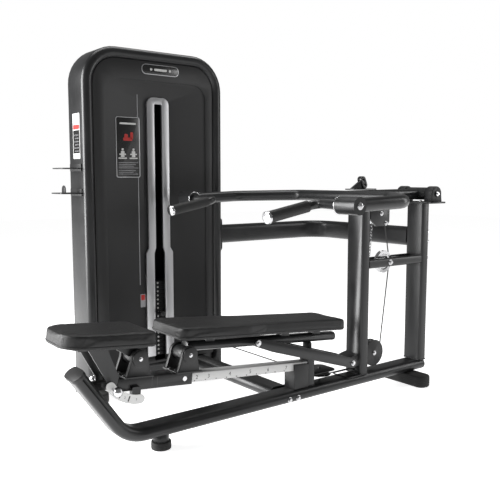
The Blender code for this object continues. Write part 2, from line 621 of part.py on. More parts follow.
def pulleys():
    axle = 0.006
    high = (HIGH_PULLEY[0], 0.0, HIGH_PULLEY[1])
    low = (LOW_PULLEY[0], 0.0, LOW_PULLEY[1])
    turn = (TURN_PULLEY[0], TURN_PULLEY[1], LOW_RUN_Z)
    wheel("high_pulley", high, "Y", HIGH_GROOVE, CHROME)
    wheel("low_pulley", low, "Y", LOW_GROOVE, BLACK_PLASTIC)
    wheel("turn_pulley", turn, "Z", TURN_GROOVE, BLACK_PLASTIC)
    reach = PULLEY_RAIL_Y - 0.012 - GAP
    add("high_axle", rod(axle, (high[0], -reach, high[2]), (high[0], reach, high[2]), 14), CHROME, machine)

    upright = FRONT_UPRIGHT_X + UPRIGHT_DEPTH / 2 + GAP
    for word, side in (("near", -1), ("far", 1)):
        inner, outer = side * 0.0125, side * 0.0165
        cover = prism(circle(0.062, 32, LOW_PULLEY), min(inner, outer), max(inner, outer), "XZ")
        piece = add(f"pulley_cover_{word}", cover, BLACK_PLASTIC, machine)
        arm = [(upright, 0.165), (LOW_PULLEY[0], 0.165), (LOW_PULLEY[0], 0.205), (upright, 0.205)]
        join(piece, prism(arm, min(inner, outer), max(inner, outer), "XZ"))
        tip = 0.0 if side < 0 else GAP
        join(piece, rod(axle, (low[0], side * tip, low[2]), (low[0], side * 0.020, low[2]), 14))

    plate = rounded_box((0.7505, -0.016), (TURN_PULLEY[0] + 0.055, 0.100), 0.030, 5)
    slab = prism(plate, LOW_RUN_Z + 0.0125, LOW_RUN_Z + 0.0165, "XY")
    bracket = add("turn_bracket", slab, BLACK_PLASTIC, machine)
    join(bracket, rod(axle, (turn[0], turn[1], BEAM_TOP + GAP), (turn[0], turn[1], LOW_RUN_Z + 0.024), 14))


def cable():
    """The steel cable, taut from the lever plate over the pulleys to the notch in the tower's panel."""
    high_start = radians(8)
    points = [(1.216, 0.0, 0.779), (1.234, 0.0, 0.690)]
    points += [(x, 0.0, z) for x, z in arc(HIGH_PULLEY, HIGH_GROOVE, high_start, radians(-9), 3)]
    points += [(x, 0.0, z) for x, z in arc(LOW_PULLEY, LOW_GROOVE, radians(-9), radians(-90), 8)]
    last_turn = arc(TURN_PULLEY, TURN_GROOVE, radians(-90), radians(-171), 8)
    points += [(x, y, LOW_RUN_Z) for x, y in last_turn]
    points += [CABLE_ENTRY]
    line = bpy.data.curves.new("cable", "CURVE")
    line.dimensions = "3D"
    line.bevel_depth = CABLE_RADIUS
    line.bevel_resolution = 2
    line.use_fill_caps = True
    spline = line.splines.new("POLY")
    spline.points.add(len(points) - 1)
    for place, point in zip(spline.points, points):
        place.co = (*point, 1.0)
    line.materials.append(BLACK_PLASTIC)
    piece = bpy.data.objects.new("cable", line)
    bpy.context.scene.collection.objects.link(piece)
    piece.parent = machine


# Bench carriage. Everything here is drawn in the rail's own frame: u along it, y across it, w above it.

def hinge_bracket(name, hinge, start, stop):
    """A base on the sleeve with two ears, and round covers over the hinge bolt."""
    base_top = SLEEVE_HIGH + GAP + 0.006
    base = box((start, -0.052, SLEEVE_HIGH + GAP), (stop, 0.052, base_top))
    bracket = add(name, base, BLACK_PLASTIC, rail_frame)
    ear = lug(hinge, base_top - 0.003, start + 0.006, stop - 0.006, 0.034)
    for inner, outer in ((-0.048, -0.035), (0.035, 0.048)):
        join(bracket, prism(ear, inner, outer, "XZ"))
    for start_y, stop_y in ((-0.054, -0.047), (0.047, 0.054)):
        join(bracket, prism(circle(0.030, 24, hinge), start_y, stop_y, "XZ"))


def carriage():
    outline = rounded_box((-SLEEVE_WALL_Y, SLEEVE_LOW), (SLEEVE_WALL_Y, SLEEVE_HIGH), 0.004, 2)
    sleeve = add("carriage_sleeve", prism(outline, SLEEVE_START, SLEEVE_END, "YZ"), FRAME_PAINT, rail_frame)
    clear = 0.0013
    inner_low = (SLEEVE_START - 0.05, -RAIL_HALF_WIDTH - clear, -RAIL_HALF_HEIGHT - clear)
    cut(sleeve, box(inner_low, (SLEEVE_END + 0.05, RAIL_HALF_WIDTH + clear, RAIL_HALF_HEIGHT + clear)))
    cut(sleeve, rod(0.009, (0.085, -0.06, 0.002), (0.085, -0.03, 0.002), 16))
    hinge_bracket("seat_bracket", SEAT_HINGE, -0.172, -0.060)
    hinge_bracket("back_bracket", BACK_HINGE, 0.038, 0.146)

    start, stop = radians(204), radians(272)
    sector = arc(SEAT_HINGE, 0.160, start, stop, 12) + arc(SEAT_HINGE, 0.122, stop, start, 12)
    plate = add("tilt_plate", prism(sector, -0.0575, -0.0535, "XZ"), WHITE_PAINT, rail_frame)
    join(plate, box((-0.140, -0.0575, -0.036), (-0.106, -SLEEVE_WALL_Y - GAP, -0.006)))
    for angle in (radians(240), radians(254)):
        ends = [(SEAT_HINGE[0] + r * cos(angle), SEAT_HINGE[1] + r * sin(angle)) for r in (0.132, 0.150)]
        cut(plate, prism(bar(ends[0], ends[1], 0.003, 0.003, 4), -0.07, -0.04, "XZ"))

    knob_start = SLEEVE_WALL_Y + GAP
    pin = rod(0.009, (0.085, knob_start, 0.002), (0.085, 0.060, 0.002), 16)
    knob = add("rail_pin", pin, CHROME, rail_frame)
    join(knob, rod(0.015, (0.085, 0.055, 0.002), (0.085, 0.080, 0.002), 20))


def pad(name, outline, low, high, origin):
    """A plain upholstered pad: an outline with softly rounded top and bottom rims."""
    piece = add(name, prism(outline, low, high, "XY"), VINYL, rail_frame, origin)
    bevel = piece.modifiers.new("Rims", "BEVEL")
    bevel.width = 0.012
    bevel.segments = 2
    bevel.limit_method = "ANGLE"
    bevel.angle_limit = radians(60)


def seat():
    hinge = (SEAT_HINGE[0], 0.0, SEAT_HINGE[1])
    outline = rounded_box((SEAT_START, -SEAT_HALF), (SEAT_STOP, SEAT_HALF), (0.030, 0.030, 0.080, 0.080), 7)
    pad("seat_pad", outline, SEAT_LOW, SEAT_HIGH, hinge)
    board = box((-0.360, -0.070, SEAT_LOW - 0.012), (-0.100, 0.070, SEAT_LOW - GAP))
    frame = add("seat_frame", board, FRAME_PAINT, rail_frame, hinge)
    join(frame, rod(0.028, (hinge[0], -0.0345, hinge[2]), (hinge[0], 0.0345, hinge[2]), 20))
    web_top = 0.144
    web = [(hinge[0] - 0.020, hinge[2]), (hinge[0] + 0.014, hinge[2])]
    web += [(hinge[0] + 0.010, web_top), (hinge[0] - 0.110, web_top)]
    join(frame, prism(web, -0.020, 0.020, "XZ"))
    knob = (-0.219, -0.002)
    leg = [(-0.320, web_top), (-0.238, 0.020)] + arc(knob, 0.016, radians(170), radians(370), 6)
    leg += [(-0.196, 0.040), (-0.250, web_top)]
    for inner, outer in ((-0.052, -0.046), (0.046, 0.052)):
        join(frame, prism(leg[::-1], inner, outer, "XZ"))
    for word, side, start in (("near", -1, 0.0578), ("far", 1, 0.0523)):
        pin = rod(0.005, (knob[0], side * start, knob[1]), (knob[0], side * 0.086, knob[1]), 12)
        piece = add(f"seat_knob_{word}", pin, CHROME, rail_frame)
        join(piece, ball(0.0175, (knob[0], side * 0.096, knob[1])))


def ball(radius, centre, sides=14):
    """A ball about the y axis, closed at its poles by small flats."""
    bm = bmesh.new()
    rings = []
    for r, h in arc((0.0, 0.0), radius, radians(-80), radians(80), 6):
        ring = [(r * cos(2 * pi * i / sides), r * sin(2 * pi * i / sides)) for i in range(sides)]
        rings.append([bm.verts.new(Vector(centre) + Vector((x, h, z))) for x, z in ring])
    bm.faces.new(rings[0])
    bm.faces.new(rings[-1])
    for low, high in zip(rings, rings[1:]):
        for i in range(sides):
            bm.faces.new((low[i - 1], low[i], high[i], high[i - 1]))
    return bm


def backrest():
    hinge = (BACK_HINGE[0], 0.0, BACK_HINGE[1])
    wide, narrow = BACK_HALF_FRONT, BACK_HALF_REAR
    near_side = [(WAIST_START, -wide), (WAIST_START + 0.03, -wide + 0.002)]
    near_side += [(WAIST_STOP - 0.03, -narrow - 0.002), (WAIST_STOP, -narrow)]
    rear = arc((BACK_STOP - 0.026, -narrow + 0.026), 0.026, -pi / 2, 0.0, 5)
    rear += arc((BACK_STOP - 0.026, narrow - 0.026), 0.026, 0.0, pi / 2, 5)
    far_side = [(x, -y) for x, y in near_side[::-1]]
    front = arc((BACK_START + 0.032, wide - 0.032), 0.032, pi / 2, pi, 5)
    front += arc((BACK_START + 0.032, -wide + 0.032), 0.032, pi, 3 * pi / 2, 5)
    pad("back_pad", near_side + rear + far_side + front, BACK_LOW, BACK_HIGH, hinge)

    tube_mid = 0.119
    path = [(hinge[0] + 0.004, 0, tube_mid), (0.868, 0, tube_mid)]
    frame = add("back_frame", sweep(path, oval(0.050, 0.038), (0, 1, 0)), FRAME_PAINT, rail_frame, hinge)
    join(frame, rod(0.028, (hinge[0], -0.0345, hinge[2]), (hinge[0], 0.0345, hinge[2]), 20))
    join(frame, box((0.050, -0.040, 0.150), (0.800, 0.040, BACK_LOW - GAP)))
    for u in (0.180, 0.560, 0.740):
        join(frame, box((u, -0.018, 0.130), (u + 0.040, 0.018, 0.155)))


def strut():
    """Two flat bars from the front upright's lug up to the backrest tube, with a cross plate between them."""
    run = Vector((STRUT_FRONT[0] - STRUT_REAR[0], STRUT_FRONT[1] - STRUT_REAR[1])).normalized()
    up = Vector((run[1], -run[0]))
    tip = Vector(STRUT_FRONT)
    shoulder_low = tip - run * 0.080 - up * 0.0225
    shoulder_high = tip - run * 0.080 + up * 0.0225
    turn = atan2(run[1], run[0])
    outline = arc(STRUT_REAR, 0.0225, turn + pi / 2, turn + 3 * pi / 2, 8)
    nose = arc(STRUT_FRONT, 0.016, turn - pi / 2, turn + pi / 2, 6)
    outline += [tuple(shoulder_high)] + nose + [tuple(shoulder_low)]
    axis = (STRUT_REAR[0], 0.0, STRUT_REAR[1])
    bars = add("strut", prism(outline, -STRUT_OUTER, -STRUT_INNER, "XZ"), FRAME_PAINT, machine, axis)
    join(bars, prism(outline, STRUT_INNER, STRUT_OUTER, "XZ"))
    plate_half = 0.004
    corners = ((0.085, -plate_half), (0.145, -plate_half), (0.145, plate_half), (0.085, plate_half))
    plate = [Vector(STRUT_REAR) + run * d + up * h for d, h in corners]
    join(bars, prism([tuple(p) for p in plate], -STRUT_INNER - 0.004, STRUT_INNER + 0.004, "XZ"))


def centre_on_origin():
    """Moves the machine so that the middle of its box, at the floor, is the origin."""
    bpy.context.view_layer.update()
    shapes = [o for o in bpy.data.objects if o.type in {"MESH", "CURVE"} and not o.hide_render]
    seen = bpy.context.evaluated_depsgraph_get()
    corners = []
    for shape in shapes:
        ready = shape.evaluated_get(seen)
        mesh = ready.to_mesh()
        corners += [shape.matrix_world @ vertex.co for vertex in mesh.vertices]
        ready.to_mesh_clear()
    for axis in (0, 1):
        middle = (min(c[axis] for c in corners) + max(c[axis] for c in corners)) / 2
        machine.location[axis] = -middle


floor_frame()
uprights()
link_tube()
rail_and_post()
tower()
weight_stack()
trays()
pivot_seat()
press_arm()
handles()
pulleys()
cable()
carriage()
seat()
backrest()
strut()
centre_on_origin()
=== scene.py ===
"""A multi-press gym machine: weight tower, press arm and a bench that slides on a numbered rail."""

import json
from math import atan2, cos, pi, radians, sin

import bmesh
import bpy
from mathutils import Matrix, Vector


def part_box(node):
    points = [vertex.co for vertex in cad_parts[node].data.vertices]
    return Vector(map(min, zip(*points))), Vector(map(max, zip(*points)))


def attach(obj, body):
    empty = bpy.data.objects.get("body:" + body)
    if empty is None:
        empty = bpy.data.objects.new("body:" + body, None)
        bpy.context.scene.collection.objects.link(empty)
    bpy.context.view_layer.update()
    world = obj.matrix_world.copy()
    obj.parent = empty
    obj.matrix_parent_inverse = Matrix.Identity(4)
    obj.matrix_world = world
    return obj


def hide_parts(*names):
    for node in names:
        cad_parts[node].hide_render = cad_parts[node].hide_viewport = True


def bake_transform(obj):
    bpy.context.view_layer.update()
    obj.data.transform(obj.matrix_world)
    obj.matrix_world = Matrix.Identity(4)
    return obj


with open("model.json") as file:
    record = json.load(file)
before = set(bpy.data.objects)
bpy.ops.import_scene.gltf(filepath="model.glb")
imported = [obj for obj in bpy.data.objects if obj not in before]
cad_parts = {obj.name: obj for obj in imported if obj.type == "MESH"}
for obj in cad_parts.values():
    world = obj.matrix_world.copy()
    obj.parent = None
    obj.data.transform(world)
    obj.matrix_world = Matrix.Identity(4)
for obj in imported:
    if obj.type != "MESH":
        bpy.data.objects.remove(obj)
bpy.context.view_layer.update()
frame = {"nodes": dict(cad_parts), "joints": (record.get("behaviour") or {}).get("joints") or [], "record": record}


# The studio: a pale floor, a white surround and three soft lights.
# The camera stands at seated eye height beside the bench's front corner.

camera_data = bpy.data.cameras.new("camera")
camera_data.lens = 48.53
camera_data.sensor_width = 36.0
camera = bpy.data.objects.new("camera", camera_data)
camera.location = (-1.7579, -2.275, 1.0)
camera.rotation_euler = (radians(83.958), 0.0, radians(-37.381))
bpy.context.scene.collection.objects.link(camera)
bpy.context.scene.camera = camera


def node(tree, kind, sockets=None, **settings):
    """Adds a node; a socket is given a value, an output, or a node whose first output feeds it."""
    made = tree.nodes.new(kind)
    for key, value in settings.items():
        setattr(made, key, value)
    for key, value in (sockets or {}).items():
        if isinstance(value, bpy.types.Node):
            value = value.outputs[0]
        if isinstance(value, bpy.types.NodeSocket):
            tree.links.new(value, made.inputs[key])
        else:
            made.inputs[key].default_value = value
    return made


def maths(tree, operation, *values):
    return node(tree, "ShaderNodeMath", dict(enumerate(values)), operation=operation)


def mapped(tree, value, given_range, wanted_range):
    """Maps a value from one range to another and keeps it inside."""
    (low, high), (start, stop) = given_range, wanted_range
    sockets = {"Value": value, "From Min": low, "From Max": high, "To Min": start, "To Max": stop}
    return node(tree, "ShaderNodeMapRange", sockets)


def soft_light(name, place, aim, width, height, power):
    lamp = bpy.data.lights.new(name, "AREA")
    lamp.shape = "RECTANGLE"
    lamp.size, lamp.size_y = width, height
    lamp.energy = power
    light = bpy.data.objects.new(name, lamp)
    light.location = place
    light.rotation_euler = (Vector(aim) - Vector(place)).to_track_quat("-Z", "Y").to_euler()
    bpy.context.scene.collection.objects.link(light)


soft_light("window_left", (-3.2, 1.6, 1.5), (-0.5, 0.6, 0.8), 1.8, 2.6, 260.0)
soft_light("overhead", (0.3, 0.6, 3.2), (0.2, 0.2, 0.5), 2.6, 0.7, 34.0)
soft_light("window_right", (2.9, -1.6, 1.6), (0.4, 0.0, 0.6), 0.5, 2.2, 22.0)

surround = bpy.data.worlds.new("studio")
surround.use_nodes = True
sky = surround.node_tree.nodes["Background"]
sky.inputs["Color"].default_value = (1.0, 1.0, 1.0, 1.0)
seen_directly = node(surround.node_tree, "ShaderNodeLightPath").outputs["Is Camera Ray"]
sky_strength = mapped(surround.node_tree, seen_directly, (0.0, 1.0), (0.20, 1.0))
surround.node_tree.links.new(sky_strength.outputs[0], sky.inputs["Strength"])
bpy.context.scene.world = surround
bpy.context.scene.view_settings.view_transform = "Standard"

floor_material = bpy.data.materials.new("studio_floor")
floor_material.use_nodes = True
floor_shader = floor_material.node_tree.nodes["Principled BSDF"]
floor_shader.inputs["Base Color"].default_value = (0.93, 0.93, 0.93, 1.0)
floor_shader.inputs["Roughness"].default_value = 0.9
floor_shader.inputs["Specular IOR Level"].default_value = 0.1
floor_shader.inputs["Emission Color"].default_value = (1.0, 1.0, 1.0, 1.0)
floor_shader.inputs["Emission Strength"].default_value = 0.80

floor_mesh = bpy.data.meshes.new("studio_floor")
reach = 14.0
floor_corners = [(-reach, -reach, 0.0), (reach, -reach, 0.0), (reach, reach, 0.0), (-reach, reach, 0.0)]
floor_mesh.from_pydata(floor_corners, [], [(0, 1, 2, 3)])
floor_mesh.materials.append(floor_material)
floor = bpy.data.objects.new("studio_floor", floor_mesh)
bpy.context.scene.collection.objects.link(floor)


# Floor frame: flat oval steel tube with a charcoal powder coat. The long beam turns up under the
# seat and carries the guide rail; the cross beam runs under the weight tower. Everything is welded.

def group_tree(name, given, results):
    """A shader node group with named sockets, given as (name, kind, default)."""
    tree = bpy.data.node_groups.new(name, "ShaderNodeTree")
    for label, kind, value in given:
        tree.interface.new_socket(name=label, in_out="INPUT", socket_type=kind).default_value = value
    for label, kind in results:
        tree.interface.new_socket(name=label, in_out="OUTPUT", socket_type=kind)
    return tree, tree.nodes.new("NodeGroupInput").outputs, tree.nodes.new("NodeGroupOutput").inputs


FLOAT = "NodeSocketFloat"

def noise(tree, scale, detail):
    """Noise in the object's own space, the same at every pose."""
    where = node(tree, "ShaderNodeTexCoord").outputs["Object"]
    return node(tree, "ShaderNodeTexNoise", {"Vector": where, "Scale": scale, "Detail": detail})


surface_grain, given, result = group_tree(
    "surface_grain",
    [("Broad Scale", FLOAT, 6.0), ("Fine Scale", FLOAT, 400.0)],
    [("Tone", FLOAT), ("Height", FLOAT)],
)
for scale, detail, use in (("Broad Scale", 5.0, "Tone"), ("Fine Scale", 3.0, "Height")):
    surface_grain.links.new(noise(surface_grain, given[scale], detail).outputs["Fac"], result[use])

worn_edges, given, result = group_tree(
    "worn_edges",
    [("Reach", FLOAT, 0.0015), ("Amount", FLOAT, 0.5), ("Patch Scale", FLOAT, 30.0)],
    [("Mask", FLOAT)],
)
flat_normal = node(worn_edges, "ShaderNodeNewGeometry").outputs["Normal"]
round_normal = node(worn_edges, "ShaderNodeBevel", {"Radius": given["Reach"]}, samples=4).outputs["Normal"]
likeness = node(worn_edges, "ShaderNodeVectorMath", {0: flat_normal, 1: round_normal}, operation="DOT_PRODUCT")
edge = mapped(worn_edges, likeness.outputs["Value"], (0.995, 0.90), (0.0, 1.0))
patches = noise(worn_edges, given["Patch Scale"], 6.0).outputs["Fac"]
patch = mapped(worn_edges, patches, (0.42, 0.68), (0.15, 1.0))
worn = maths(worn_edges, "MULTIPLY", edge, patch)
scaled = maths(worn_edges, "MULTIPLY", worn, given["Amount"])
worn_edges.links.new(scaled.outputs[0], result["Mask"])

settled_dust, given, result = group_tree(
    "settled_dust",
    [("Amount", FLOAT, 0.1), ("Patch Scale", FLOAT, 14.0)],
    [("Mask", FLOAT)],
)
face_normal = node(settled_dust, "ShaderNodeNewGeometry").outputs["Normal"]
upward = node(settled_dust, "ShaderNodeSeparateXYZ", {0: face_normal})
lying = mapped(settled_dust, upward.outputs["Z"], (0.65, 1.0), (0.0, 1.0))
drift = noise(settled_dust, given["Patch Scale"], 7.0)
lain = maths(settled_dust, "MULTIPLY", lying, drift.outputs["Fac"])
lain_scaled = maths(settled_dust, "MULTIPLY", lain, given["Amount"])
settled_dust.links.new(lain_scaled.outputs[0], result["Mask"])


def grouped(tree, group, sockets):
    placed = node(tree, "ShaderNodeGroup", node_tree=group)
    for key, value in sockets.items():
        placed.inputs[key].default_value = value
    return placed.outputs


def mixed(tree, factor, first, second):
    """Mixes two colours, each given as a value or an output."""
    mix = node(tree, "ShaderNodeMix", data_type="RGBA")
    for index, value in ((0, factor), (6, first), (7, second)):
        if isinstance(value, bpy.types.NodeSocket):
            tree.links.new(value, mix.inputs[index])
        else:
            mix.inputs[index].default_value = (*value, 1.0)
    return mix.outputs[2]


DUST = (0.42, 0.41, 0.39)


def new_finish(name, broad, fine):
    """A material, with its tree, its shader and its grain."""
    material = bpy.data.materials.new(name)
    material.use_nodes = True
    tree = material.node_tree
    grain = grouped(tree, surface_grain, {"Broad Scale": broad, "Fine Scale": fine})
    return material, tree, tree.nodes["Principled BSDF"], grain


def coated(tree, shader, colour, gloss, height, strength, distance):
    """Gives a shader its colour, its roughness and its fine relief."""
    relief = node(tree, "ShaderNodeBump", {"Height": height, "Strength": strength, "Distance": distance})
    tree.links.new(colour, shader.inputs["Base Color"])
    tree.links.new(gloss.outputs[0], shader.inputs["Roughness"])
    tree.links.new(relief.outputs["Normal"], shader.inputs["Normal"])


def finish_of(name, dark, light, roughness, metallic=0.0, broad=6.0, fine=400.0, bump=0.05, depth=0.0004,
              worn=(0.3, 0.3, 0.3), wear=0.0, dust=0.0, coat=0.0, spread=0.06):
    """A worn, slightly uneven finish: two tones, grain, bare edges and dust on what faces up."""
    material, tree, shader, grain = new_finish(name, broad, fine)
    colour = mixed(tree, grain["Tone"], dark, light)
    if wear:
        rubbed = grouped(tree, worn_edges, {"Reach": 0.0016, "Amount": wear, "Patch Scale": 30.0})["Mask"]
        colour = mixed(tree, rubbed, colour, worn)
    if dust:
        lain = grouped(tree, settled_dust, {"Amount": dust, "Patch Scale": 14.0})["Mask"]
        colour = mixed(tree, lain, colour, DUST)
    gloss = mapped(tree, grain["Tone"], (0.3, 0.7), (roughness - spread, roughness + spread))
    coated(tree, shader, colour, gloss, grain["Height"], bump, depth)
    shader.inputs["Metallic"].default_value = metallic
    shader.inputs["Coat Weight"].default_value = coat
    shader.inputs["Coat Roughness"].default_value = 0.25
    return material


charcoal_coat = finish_of(
    "charcoal_powder_coat", (0.011, 0.0112, 0.0118), (0.018, 0.0183, 0.0190), 0.34, metallic=0.30, broad=9.0,
    fine=750.0, bump=0.22, worn=(0.11, 0.11, 0.115), wear=0.35, dust=0.03, coat=0.15,
)
foot_rubber = finish_of(
    "foot_rubber", (0.006, 0.006, 0.006), (0.012, 0.012, 0.012), 0.70, broad=25.0, fine=900.0, bump=0.35,
    worn=(0.05, 0.05, 0.05), wear=0.5, dust=0.12,
)
moulded_black = finish_of(
    "moulded_black_plastic", (0.006, 0.006, 0.0065), (0.011, 0.011, 0.0115), 0.42, broad=12.0, fine=1300.0,
    bump=0.30, worn=(0.07, 0.07, 0.07), wear=0.4, dust=0.05,
)
bright_chrome = finish_of(
    "bright_chrome", (0.55, 0.55, 0.56), (0.70, 0.70, 0.71), 0.16, metallic=1.0, broad=18.0, fine=600.0,
    bump=0.03, worn=(0.85, 0.85, 0.85), wear=0.3, spread=0.05,
)

body_of = {n: b for b, members in frame["record"]["behaviour"]["bodies"].items() for n in members}
slot_of = {part["node"]: part["material_slot"] for part in frame["record"]["subparts"]}

foot_low, foot_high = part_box("front_foot")
zero = Vector(((foot_low.x + foot_high.x) / 2, (foot_low.y + foot_high.y) / 2, 0.0))


def at(x, y, z):
    """A place measured from the floor under the front foot."""
    return Vector((zero.x + x, zero.y + y, z))


HARD_EDGE = radians(38)


def piece_from(name, mesh, material=None):
    """An object of a mesh that already stands in its place, smooth but for its hard edges."""
    mesh.shade_smooth()
    mesh.set_sharp_from_angle(angle=HARD_EDGE)
    if material:
        mesh.materials.clear()
        mesh.materials.append(material)
    piece = bpy.data.objects.new(name, mesh)
    bpy.context.scene.collection.objects.link(piece)
    return piece


def mesh_from(name, bm):
    mesh = bpy.data.meshes.new(name)
    bm.to_mesh(mesh)
    bm.free()
    return mesh


def settled(piece):
    """Turns a piece with modifiers into the plain mesh that they give."""
    seen = bpy.context.evaluated_depsgraph_get()
    mesh = bpy.data.meshes.new_from_object(piece.evaluated_get(seen), depsgraph=seen)
    piece.modifiers.clear()
    piece.data = mesh
    return piece


def fitted(piece, body, slot, *nodes):
    """Puts a finished piece on its body and hides the nodes that it stands for; slot is not used."""
    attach(piece, body)
    if nodes:
        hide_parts(*nodes)
    return piece


def dressed(cad_node, material, edge=0.0):
    """The machine's own solid with welded corners, rounded edges and its finish."""
    bm = bmesh.new()
    bm.from_mesh(frame["nodes"][cad_node].data)
    bmesh.ops.remove_doubles(bm, verts=bm.verts, dist=2e-6)
    bmesh.ops.dissolve_limit(bm, angle_limit=radians(0.6), verts=bm.verts, edges=bm.edges)
    piece = piece_from(f"{cad_node}_skin", mesh_from(cad_node, bm), material)
    if edge:
        rounding = piece.modifiers.new("edges", "BEVEL")
        rounding.width = edge
        rounding.segments = 2
        rounding.limit_method = "ANGLE"
        rounding.angle_limit = radians(42)
        settled(piece)
        piece.data.shade_smooth()
        piece.data.set_sharp_from_angle(angle=HARD_EDGE)
    return fitted(piece, body_of[cad_node], slot_of[cad_node], cad_node)


for beam_part in ("main_beam", "cross_beam"):
    dressed(beam_part, charcoal_coat)
dressed("beam_cap", moulded_black, 0.0015)


def grower(name, given):
    """A Geometry Nodes tree with named inputs, and its group input and output sockets."""
    tree = bpy.data.node_groups.new(name, "GeometryNodeTree")
    for label, kind, value in given:
        socket = tree.interface.new_socket(name=label, in_out="INPUT", socket_type=kind)
        if value is not None:
            socket.default_value = value
    tree.interface.new_socket(name="Geometry", in_out="OUTPUT", socket_type="NodeSocketGeometry")
    return tree, tree.nodes.new("NodeGroupInput").outputs, tree.nodes.new("NodeGroupOutput").inputs


def closing(tree, shape, material, result):
    """Ends a tree: instances are made real and get their material."""
    real = node(tree, "GeometryNodeRealizeInstances", {"Geometry": shape})
    painted = node(tree, "GeometryNodeSetMaterial", {"Geometry": real, "Material": material})
    tree.links.new(painted.outputs[0], result["Geometry"])


def grown(name, tree, source, body, slot, nodes=(), **values):
    """Runs a tree on a mesh and gives the plain piece, its faces turned outwards."""
    piece = bpy.data.objects.new(name, source)
    bpy.context.scene.collection.objects.link(piece)
    modifier = piece.modifiers.new("grow", "NODES")
    modifier.node_group = tree
    keys = {item.name: item.identifier for item in tree.interface.items_tree if item.in_out == "INPUT"}
    for label, value in values.items():
        modifier[keys[label.replace("_", " ")]] = value
    settled(piece)
    bm = bmesh.new()
    bm.from_mesh(piece.data)
    bmesh.ops.recalc_face_normals(bm, faces=bm.faces)
    bm.to_mesh(piece.data)
    bm.free()
    piece.data.shade_smooth()
    piece.data.set_sharp_from_angle(angle=HARD_EDGE)
    return fitted(piece, body, slot, *nodes)


def line_mesh(runs, closed=False):
    """Edges along each run of points."""
    points, edges = [], []
    for run in runs:
        first = len(points)
        points += [tuple(p) for p in run]
        edges += [(first + i, first + i + 1) for i in range(len(run) - 1)]
        if closed:
            edges.append((len(points) - 1, first))
    mesh = bpy.data.meshes.new("line")
    mesh.from_pydata(points, edges, [])
    return mesh


def line_of(tree, given):
    return node(tree, "GeometryNodeMeshToCurve", {"Mesh": given["Geometry"]})


def spaced_line(tree, given, step):
    """The given line, resampled at a step."""
    sockets = {"Curve": line_of(tree, given), "Length": given[step]}
    return node(tree, "GeometryNodeResampleCurve", sockets, mode="LENGTH")


def swept(tree, path, sides, radius, scale=1.0, capped=True):
    """A round section drawn along a path."""
    ring = node(tree, "GeometryNodeCurvePrimitiveCircle", {"Resolution": sides, "Radius": radius})
    return node(tree, "GeometryNodeCurveToMesh", {
        "Curve": path, "Profile Curve": ring, "Scale": scale, "Fill Caps": capped,
    })


GEOMETRY, INTEGER, MATERIAL = "NodeSocketGeometry", "NodeSocketInt", "NodeSocketMaterial"

rippled_bar, given, result = grower("rippled_bar", [
    ("Geometry", GEOMETRY, None), ("Radius", FLOAT, 0.003), ("Step", FLOAT, 0.003), ("Ripple", FLOAT, 0.2),
    ("Sides", INTEGER, 8), ("Material", MATERIAL, None),
])
turn = maths(rippled_bar, "MULTIPLY", node(rippled_bar, "GeometryNodeInputIndex"), 2.1)
swell = maths(rippled_bar, "MULTIPLY_ADD", maths(rippled_bar, "SINE", turn), given["Ripple"], 1.0)
wall = swept(rippled_bar, spaced_line(rippled_bar, given, "Step"), given["Sides"], given["Radius"], swell)
closing(rippled_bar, wall, given["Material"], result)


def bars(name, runs, body, slot, radius, step, ripple, sides, material, closed=False):
    """Round bars along runs of points; a ripple makes them look like a weld or a grip."""
    return grown(name, rippled_bar, line_mesh(runs, closed), body, slot,
                 Radius=radius, Step=step, Ripple=ripple, Sides=sides, Material=material)


def round_corners(low, high, radius, steps=6):
    """A rectangle's outline with rounded corners, as (x, y) pairs."""
    centres = ((high[0] - radius, low[1] + radius), (high[0] - radius, high[1] - radius),
               (low[0] + radius, high[1] - radius), (low[0] + radius, low[1] + radius))
    points = []
    for quarter, (x, y) in enumerate(centres):
        for i in range(steps + 1):
            angle = (quarter - 1 + i / steps) * pi / 2
            points.append((x + radius * cos(angle), y + radius * sin(angle)))
    return points


def footprint(cad_node, radius, margin=0.0):
    """The rounded outline of a node seen from above."""
    low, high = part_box(cad_node)
    return round_corners((low.x - margin, low.y - margin), (high.x + margin, high.y + margin), radius)


weld_loops = []
for upright in ("front_upright", "rear_upright", "rail_post"):
    foot_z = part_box(upright)[0].z + 0.001
    weld_loops.append([(x, y, foot_z) for x, y in footprint(upright, 0.010, 0.0005)])
cross_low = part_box("cross_beam")[0]
half_wide, half_high = 0.050, 0.025
cross_loop = [(at(0.612, 0, 0).x + y, cross_low.y + 0.001, 0.082 + z)
              for y, z in round_corners((-half_wide, -half_high), (half_wide, half_high), 0.0245, 8)]
weld_loops.append(cross_loop)
bars("frame_welds", weld_loops, "root", "frame_paint", 0.0026, 0.0035, 0.22, 8, charcoal_coat, closed=True)


def moved(tree, shape, **shift):
    """A shape moved along the named axes."""
    place = node(tree, "ShaderNodeCombineXYZ", shift)
    return node(tree, "GeometryNodeTransform", {"Geometry": shape, "Translation": place})


bolt_heads, given, result = grower("bolt_heads", [
    ("Geometry", GEOMETRY, None), ("Width", FLOAT, 0.016), ("Height", FLOAT, 0.006), ("Washer", FLOAT, 0.011),
    ("Sides", INTEGER, 6), ("Material", MATERIAL, None),
])
half_width = maths(bolt_heads, "MULTIPLY", given["Width"], 0.5)
narrow = maths(bolt_heads, "MULTIPLY", given["Width"], 0.40)
crown_height = maths(bolt_heads, "MULTIPLY", given["Height"], 0.25)
head = node(bolt_heads, "GeometryNodeMeshCylinder", {
    "Vertices": given["Sides"], "Radius": half_width, "Depth": given["Height"],
})
head_lift = maths(bolt_heads, "MULTIPLY", given["Height"], 0.5)
head_set = moved(bolt_heads, head, Z=head_lift)
crown = node(bolt_heads, "GeometryNodeMeshCone", {
    "Vertices": given["Sides"], "Radius Top": narrow, "Radius Bottom": half_width,
    "Depth": crown_height,
})
crown_set = moved(bolt_heads, crown, Z=given["Height"])
